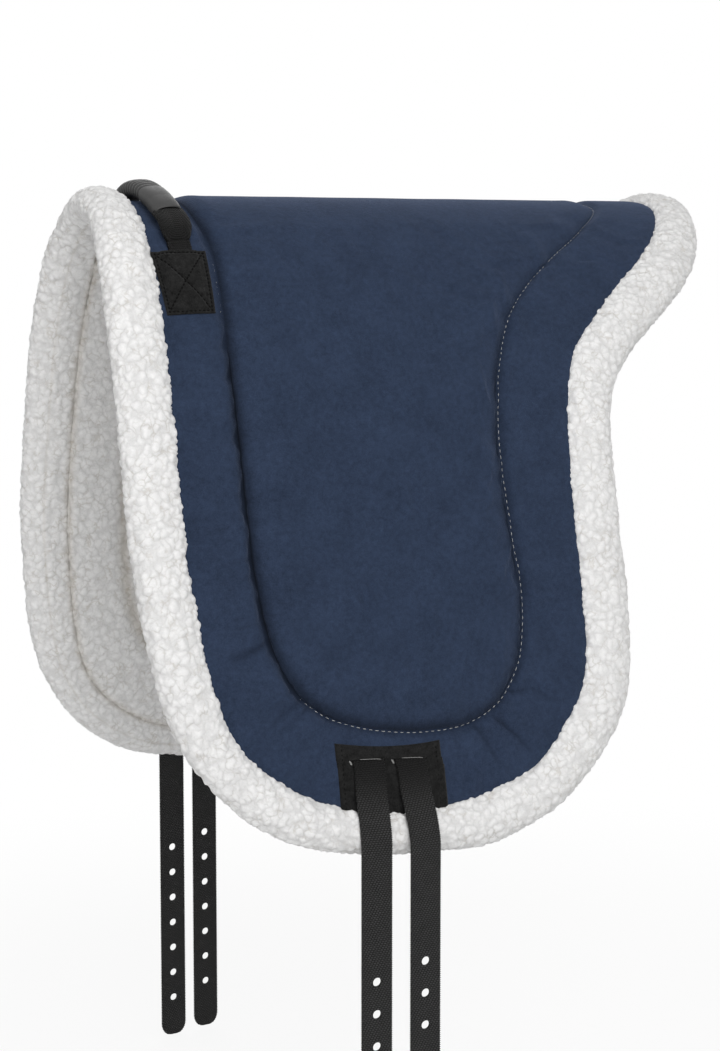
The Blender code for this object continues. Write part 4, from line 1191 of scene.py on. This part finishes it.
def make_girth_patch(word, stitches):
    """The patch with its two slots sunk into it, so that the cut ends beside a strap are dark."""
    side = SIDES[word]
    x, row = np.meshgrid(spaced(GIRTH_COLUMNS, 1.0), spaced((0.0, 1.0, 2.0, 3.0, 4.0, 5.0), 0.07))
    t = girth_patch_place(x, row)
    low_x, high_x = GIRTH_COLUMNS[0], GIRTH_COLUMNS[-1]
    side_rim = np.minimum(x - low_x, high_x - x)
    top_rim = t - girth_patch_place(x, np.zeros_like(row))
    height = 2.0 - 0.9 * (1 - rounded(np.minimum(side_rim, top_rim), 1.6)) + 0.35 * ragged(x, t, 14.0, 4.0, side)
    height = height - 0.5 * bell(side_rim - GIRTH_STITCH_INSET, 0.8)
    half_width = (GIRTH_COLUMNS[3] - GIRTH_COLUMNS[2]) / 2
    for strap_x, _, _ in STRAPS[word].values():
        across = np.abs(x - strap_x)
        height = height + 0.7 * bell(row - 0.92, 0.1) * rounded(half_width + 3.0 - across, 4.0)
        height = np.where((across < half_width + 0.05) & (row > 1.5) & (row < 3.5), 0.75, height)
    fade = unit(1.0 - side_rim / 12.0)
    x = x + np.where(x < GIRTH_PATCH_MIDDLE, 1.0, 2.2) * fade * (row - 1.5) / 3.5
    patch = laid_sheet(word + "_girth_patch_cloth", x, t, height, np.full_like(height, 0.2), side)
    coat(patch, patch_material())
    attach(patch, word + "_flap")
    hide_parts(word + "_girth_patch")
    lines = [np.full(50, line_x) for line_x in (low_x + GIRTH_STITCH_INSET, high_x - GIRTH_STITCH_INSET)]
    lines = [(x, girth_patch_place(x, np.linspace(0.4, 4.95, 50))) for x in lines]
    runs = [drape(x, t, 1.45, side) for x, t in lines]
    ups = [surface_normal(x, t, side) for x, t in lines]
    thread = sew(word + "_girth_patch_thread", stitches, runs, ups, Pitch=0.0034, Length=0.0021, Thread=0.0012,
                 Seed=6)
    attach(thread, word + "_flap")


def make_slot_rims(word):
    """Pale cut edge of the backing: a thin line above each strap and a tuft at the end of its slot."""
    side = SIDES[word]
    work = bmesh.new()
    for strap_x, _, _ in STRAPS[word].values():
        shares = np.linspace(0.0, 1.0, 34)
        x = strap_x - 7.4 + 19.6 * shares
        t = girth_patch_place(x, np.full(34, 1.35)) - 0.4 + 0.9 * shares ** 8
        centres = drape(x, t, 3.15 - 1.0 * shares ** 6, side)
        sweep_tube(work, centres, 0.00025 * np.sqrt(np.clip(1.02 - (2 * shares - 1) ** 6, 0.05, 1.0)))
        shares = np.linspace(0.0, 1.0, 12)
        t = girth_patch_place(np.full(12, strap_x - 14.0), np.full(12, 1.5)) + 0.2 + 3.6 * shares
        centres = drape(strap_x - 15.4 + 1.9 * shares, t, 2.1, side)
        sweep_tube(work, centres, 0.00072 * np.sqrt(np.clip(1.03 - (2 * shares - 1) ** 2, 0.05, 1.0)))
    rims = bmesh_object(work, word + "_slot_rims")
    coat(rims, use_material("Slot edge", fibre_material, (0.8, 0.1), SLOT_EDGE_COLOUR, (2400.0, 300.0, 0.4),
                            (0.0002, 0.6)))
    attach(rims, word + "_flap")


def sweep_tube(work, centres, radii, sides=8):
    """A round tube through the centres, closed at both ends."""
    rings = []
    for index, centre in enumerate(centres):
        ahead = Vector(centres[min(index + 1, len(centres) - 1)] - centres[max(index - 1, 0)]).normalized()
        across = ahead.cross(Vector((0.0, 0.0, 1.0))).normalized()
        up = across.cross(ahead)
        angles = [2 * math.pi * step / sides for step in range(sides)]
        rings.append([work.verts.new(Vector(centre) + (across * math.cos(angle) + up * math.sin(angle))
                                     * float(radii[index])) for angle in angles])
    skin(work, rings)


def skin(work, rings):
    """Walls between neighbouring rings and a cap at each end."""
    for first, second in zip(rings, rings[1:]):
        for a, b, c, d in zip(first, first[1:] + first[:1], second[1:] + second[:1], second):
            work.faces.new((a, b, c, d))
    work.faces.new(rings[0][::-1])
    work.faces.new(rings[-1])


def webbing_section(half_width, half_thickness, roundness):
    """Points round a strip's section, flat with rounded selvedges or full; x is across, z is out."""
    angles = 2 * np.pi * (np.arange(WEBBING_SIDES) + 0.5) / WEBBING_SIDES
    return np.stack((squared(np.cos(angles), 0.6 + 0.25 * roundness) * half_width,
                     squared(np.sin(angles), 0.22 + 0.6 * roundness) * half_thickness), 1)


def webbing_mesh(name, centres, acrosses, outs, half_widths, half_thicknesses, selvedge, roundness=0.0, bow=0.0,
                 relief=None):
    """A strip of webbing with its own pattern coordinates, across and along in metres.

    bow bends its rows into arcs, and relief gives a rise of the surface from those coordinates.
    """
    run = run_lengths(centres)
    roundness, bow = (np.broadcast_to(values, run.shape) for values in (roundness, bow))
    work = bmesh.new()
    layer = work.loops.layers.uv.new("UVMap")
    rings, places = [], {}
    for index, centre in enumerate(centres):
        ring = []
        wave = selvedge * math.sin(2 * math.pi * run[index] / SELVEDGE_PITCH)
        for px, pz in webbing_section(half_widths[index] + wave, half_thicknesses[index], roundness[index]):
            along = run[index] + bow[index] * px * px
            if relief and pz > 0.0:
                pz += relief(px, along, index)
            vert = work.verts.new(Vector(centre) + Vector(acrosses[index]) * px + Vector(outs[index]) * pz)
            places[vert] = (px, along)
            ring.append(vert)
        rings.append(ring)
    skin(work, rings)
    for face in work.faces:
        for loop in face.loops:
            loop[layer].uv = places[loop.vert]
    return bmesh_object(work, name)


def frames_along(centres, across):
    """Unit across and out vectors at each centre; across is the wanted direction across the strip."""
    ahead = normed(np.gradient(centres, axis=0))
    out = normed(np.cross(ahead, across))
    return np.cross(out, ahead), out


def make_strap(word, place_name, punch):
    """One girth strap, slanting from its slot over the roll, and down to its tip."""
    side = SIDES[word]
    trim = settings("trim")
    slot_x, joint_x, first_hole = STRAPS[word][place_name]
    t, h = np.transpose(STRAP_RUN + [STRAP_JOINT])
    share = unit((t - SLOT_MIDDLE_T) / (STRAP_JOINT[0] - SLOT_MIDDLE_T))
    tilt = GIRTH_PATCH_TILT * (slot_x - GIRTH_PATCH_MIDDLE) * np.maximum(0.0, 1.0 - 3.0 * share)
    run = drape(slot_x + (joint_x - slot_x) * share, t + tilt, h, side)
    joint = run[-1]
    tail = [joint + np.array((0.0, 0.0, -step)) for step in (0.008, 0.02, 0.05, 0.1, 0.2, trim.strap_length)]
    path = np.concatenate((run, tail))
    centres = smooth_line(path, even_places(path, 0, len(path) - 1, STRAP_STEPS))
    centres[centres[:, 2] < joint[2], 0] = joint[0]
    level = drape(joint_x + 10.0, 540.0, 4.0, side) - drape(joint_x - 10.0, 540.0, 4.0, side)
    flat = level * (1.0, 1.0, 0.0)
    turn = unit((joint[2] + 0.02 - centres[:, 2]) / 0.03)[:, None]
    acrosses, outs = frames_along(centres, normed(level) * (1 - turn) + normed(flat) * turn)
    to_tip = (centres[:, 2] - joint[2] + trim.strap_length) / MM
    tip = np.where(to_tip < STRAP_TIP, 0.3 + 0.7 * rounded(to_tip, STRAP_TIP), 1.0)
    strap = webbing_mesh(word + "_" + place_name + "_strap", centres, acrosses, outs, trim.strap_width / 2 * tip,
                         np.full(len(centres), trim.strap_thickness / 2), 0.00042)
    material = use_material("Webbing", webbing_material, 0.0026, 0.0016)
    coat(strap, material)
    first = Vector(joint) + Vector((0.0, 0.0, -first_hole * MM))
    bake(strap, punch, Start=tuple(first), Turn=math.atan2(flat[1], flat[0]), Count=trim.hole_count,
         Spacing=trim.hole_spacing, Diameter=trim.hole_diameter, Material=material)
    body = word + "_" + place_name
    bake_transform(strap)
    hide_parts(body + "_strap_upper", body + "_strap_lower")


# Handle

def handle_frames(t):
    """Centres of the handle at distances t from the spine, negative on the near side, and its directions there."""
    places = np.interp(np.abs(t), [item[0] for item in HANDLE_HEIGHTS], np.arange(len(HANDLE_HEIGHTS)))
    height = smooth_line(HANDLE_HEIGHTS, places)[:, 1]
    centres = drape(HANDLE_X, np.abs(t), height, 1)
    centres[:, 1] *= np.sign(t)
    foot = drape(HANDLE_X, *HANDLE_FOOT, 1)
    centres[:, 0] -= HANDLE_LEAN * np.maximum(0.0, centres[:, 2] - foot[2])
    across, out = frames_along(centres, (1.0, 0.0, HANDLE_LEAN))
    return centres, across * np.sign(across[:, :1]), out * np.where(out[:, 2:] < 0.0, -1.0, 1.0)


def make_handle_webbing():
    """Webbing loop: flat inside the grip, folded round and full below it, flat again under the patches."""
    t = np.linspace(-HANDLE_END, HANDLE_END, HANDLE_STEPS + 1)
    centres, across, out = handle_frames(t)
    reach = np.abs(t)
    full = unit((reach - 60.0) / 5.0) * unit((90.0 - reach) / 10.0) ** 0.7
    ridge = unit((reach - GRIP_END) / 3.0) * unit((91.0 - reach) / 3.0)
    seam = bell(reach - 90.5, 0.55)
    bow = np.where(reach > 60.0, -70.0, 0.0) * unit((92.0 - reach) / 8.0) * -np.sign(t)

    def relief(px, along, index):
        groove = math.exp(-((abs(px) - 0.0066) / 0.0005) ** 2) * min(1.0, max(0.0, (reach[index] - 82.0) / 4.0))
        rib = 0.00016 * ridge[index] * math.sin(2 * math.pi * along / HANDLE_RIB_PITCH)
        return rib * max(0.0, 1.0 - (px / 0.0105) ** 4) - 0.0007 * seam[index] - 0.0006 * groove

    lift = 0.6 * full * MM
    lean = 1.4 * full * MM * unit((reach - GRIP_END) / 8.0)
    centres = centres + out * lift[:, None] + across * lean[:, None]
    webbing = webbing_mesh("handle_webbing_loop", centres, across, out, (9.3 + 3.6 * full) * MM,
                           (1.25 + 2.75 * full) * MM, 0.0002, full, bow, relief)
    coat(webbing, use_material("Handle webbing", webbing_material, 0.0016, HANDLE_RIB_PITCH))
    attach(webbing, "handle")
    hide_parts("handle_webbing")


def make_grip():
    """Moulded grip: ribbed in the middle, plain sleeves at the ends, open where the webbing comes out."""
    trim = settings("trim")
    t = np.linspace(-GRIP_END, GRIP_END, GRIP_STEPS + 1)
    centres, across, out = handle_frames(t)
    reach = np.abs(t)
    rib = np.abs(np.cos(np.pi * reach / RIB_PITCH))
    groove = np.where(reach < RIBS_END, 1.3 * (1 - rib ** 0.6), 0.0) + 0.9 * bell(reach - RIBS_END - 0.5, 0.42)
    swell = 0.35 * np.sin(unit((reach - RIBS_END) / (GRIP_END - RIBS_END)) * np.pi)
    ends = 0.7 * (1 - rounded(GRIP_END - reach, 1.0))
    half_width, half_height = (size / 2 / MM for size in (trim.grip_width, trim.grip_height))
    angles = 2 * np.pi * (np.arange(GRIP_SIDES) + 0.5) / GRIP_SIDES
    outline = list(zip(squared(np.cos(angles), 0.72), squared(np.sin(angles), 0.8)))
    work = bmesh.new()

    def ring(index, width, height):
        return [work.verts.new(centres[index] + (across[index] * px * width + out[index] * pz * height) * MM)
                for px, pz in outline]

    shrunk = -groove - ends + swell
    rings = [ring(index, half_width + less, half_height + less) for index, less in enumerate(shrunk)]
    for end, inward in ((0, 1), (len(t) - 1, -1)):
        mouth = [ring(end + inward * depth, half_width * share, half_height * share)
                 for depth, share in ((0, 0.88), (20, 0.84), (24, 0.1))]
        rings = mouth[::-1] + rings if end == 0 else rings + mouth
    skin(work, rings)
    grip = bmesh_object(work, "moulded_grip")
    coat(grip, use_material("Moulded grip", fibre_material, (0.5, 0.0, 0.5, 0.3), settings("colours").rubber,
                            (2200.0, 70.0, 0.12), (0.0001, 0.5), (0.42, 0.58)))
    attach(grip, "handle")
    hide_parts("handle_grip")


# Stage

def seen_directly(tree):
    """1 for what the camera sees, also in a reflection or through glass, and 0 for light on other surfaces."""
    camera, glossy, through = (node(tree, "ShaderNodeLightPath", out="Is " + word + " Ray")
                               for word in ("Camera", "Glossy", "Transmission"))
    return (camera + (glossy + through)).calc("MINIMUM", 1.0)


def make_stage():
    """Floor, soft lights, white surround and the photograph's camera."""
    scene = bpy.context.scene
    scene.view_settings.view_transform = "Standard"
    low = CAD_BOX[0].z - 0.002
    work = bmesh.new()
    bmesh.ops.create_grid(work, x_segments=12, y_segments=12, size=6.0)
    bmesh.ops.translate(work, verts=work.verts, vec=(0.0, 0.0, low))
    floor = bmesh_object(work, "floor")
    material, tree, shader = new_material("Floor", 0.9, 0.0, 0.5, 0.1)
    shader.inputs["Base Color"].default_value = (0.9, 0.9, 0.9, 1.0)
    distance = node(tree, "ShaderNodeVectorMath", object_place(tree), (0.0, 0.0, low), out="Value",
                    operation="DISTANCE")
    share = seen_directly(tree) * distance.step(0.35, 1.2, 0.9, 1.0)
    glow = node(tree, "ShaderNodeEmission", Color=(1.0, 1.0, 1.0, 1.0), Strength=1.0)
    mixed = node(tree, "ShaderNodeMixShader", share, Wire(shader.outputs[0]), glow)
    feed(tree.nodes["Material Output"], Surface=mixed)
    coat(floor, material)

    scene.world = bpy.data.worlds.new("Surround")
    scene.world.use_nodes = True
    tree = scene.world.node_tree
    background = tree.nodes["Background"]
    background.inputs["Color"].default_value = (1.0, 1.0, 1.0, 1.0)
    feed(background, Strength=seen_directly(tree).step(0.0, 1.0, 0.28, 1.0))

    for name, (spot, energy) in LAMPS.items():
        lamp = bpy.data.lights.new(name, "AREA")
        lamp.energy = energy
        lamp.shape = "DISK"
        lamp.size = LAMP_SIZE
        holder = linked(name, lamp)
        holder.location = spot
        holder.rotation_euler = (Vector(LAMP_AIM) - Vector(spot)).to_track_quat("-Z", "Y").to_euler()

    camera = bpy.data.cameras.new("photo_camera")
    camera.lens = FOCAL_PIXELS / PHOTO_PIXELS * SENSOR
    camera.sensor_width = SENSOR
    scene.camera = linked("photo_camera", camera)
    scene.camera.location = CAMERA_PLACE
    scene.camera.rotation_euler = Euler((math.radians(90.0 - CAMERA_ELEVATION), 0.0, math.radians(CAMERA_TURN)))


class PADLOOKS_OT_stage(bpy.types.Operator):
    """Build the floor, the lights and the camera"""

    bl_idname = "padlooks.stage"
    bl_label = "Stage"

    def execute(self, context):
        make_stage()
        return {"FINISHED"}


class PADLOOKS_OT_cover(bpy.types.Operator):
    """Build the quilted suede cover and its thread"""

    bl_idname = "padlooks.cover"
    bl_label = "Suede cover"

    def execute(self, context):
        stitches = stitch_tree()
        for word in SIDES:
            make_cover(word)
            make_quilting(word, stitches)
        return {"FINISHED"}


class PADLOOKS_OT_fleece(bpy.types.Operator):
    """Build the fleece lining and the rolled fleece edge"""

    bl_idname = "padlooks.fleece"
    bl_label = "Fleece"

    def execute(self, context):
        pile = pile_tree()
        for word in SIDES:
            make_lining(word, pile)
            make_roll(word, pile)
        return {"FINISHED"}


class PADLOOKS_OT_patches(bpy.types.Operator):
    """Build the handle patches and the girth patches with their stitching"""

    bl_idname = "padlooks.patches"
    bl_label = "Patches"

    def execute(self, context):
        stitches = stitch_tree()
        for word in SIDES:
            make_handle_patch(word, stitches)
            make_girth_patch(word, stitches)
            make_slot_rims(word)
        return {"FINISHED"}


class PADLOOKS_OT_straps(bpy.types.Operator):
    """Build the four girth straps with their punched holes"""

    bl_idname = "padlooks.straps"
    bl_label = "Girth straps"

    def execute(self, context):
        punch = punch_tree()
        for word in SIDES:
            for place_name in STRAPS[word]:
                make_strap(word, place_name, punch)
        return {"FINISHED"}


class PADLOOKS_OT_handle(bpy.types.Operator):
    """Build the grab handle's webbing and moulded grip"""

    bl_idname = "padlooks.handle"
    bl_label = "Grab handle"

    def execute(self, context):
        make_handle_webbing()
        make_grip()
        return {"FINISHED"}


class PADLOOKS_PT_panel(bpy.types.Panel):
    """Sizes, colours and building steps of the pad"""

    bl_idname = "PADLOOKS_PT_panel"
    bl_label = "Bareback pad"
    bl_space_type = "VIEW_3D"
    bl_region_type = "UI"
    bl_category = "Pad"

    def draw(self, context):
        scene = context.scene
        for group in (scene.pad_shape, scene.pad_fleece, scene.pad_trim, scene.pad_colours):
            box = self.layout.box()
            for key in group.bl_rna.properties.keys():
                if key not in ("rna_type", "name"):
                    box.prop(group, key)
        for operator in OPERATORS:
            self.layout.operator(operator.bl_idname)


GROUPS = {"pad_shape": PadShape, "pad_fleece": PadFleece, "pad_trim": PadTrim, "pad_colours": PadColours}
OPERATORS = (PADLOOKS_OT_stage, PADLOOKS_OT_cover, PADLOOKS_OT_fleece, PADLOOKS_OT_patches, PADLOOKS_OT_straps,
             PADLOOKS_OT_handle)


def register():
    for label, group in GROUPS.items():
        bpy.utils.register_class(group)
        setattr(bpy.types.Scene, label, bpy.props.PointerProperty(type=group))
    for item in OPERATORS + (PADLOOKS_PT_panel,):
        bpy.utils.register_class(item)


def unregister():
    for item in reversed(OPERATORS + (PADLOOKS_PT_panel,)):
        bpy.utils.unregister_class(item)
    for label, group in reversed(list(GROUPS.items())):
        delattr(bpy.types.Scene, label)
        bpy.utils.unregister_class(group)


def main():
    register()
    bpy.ops.padlooks.stage()
    bpy.ops.padlooks.cover()
    bpy.ops.padlooks.fleece()
    bpy.ops.padlooks.patches()
    bpy.ops.padlooks.straps()
    bpy.ops.padlooks.handle()


if __name__ == "__main__":
    main()
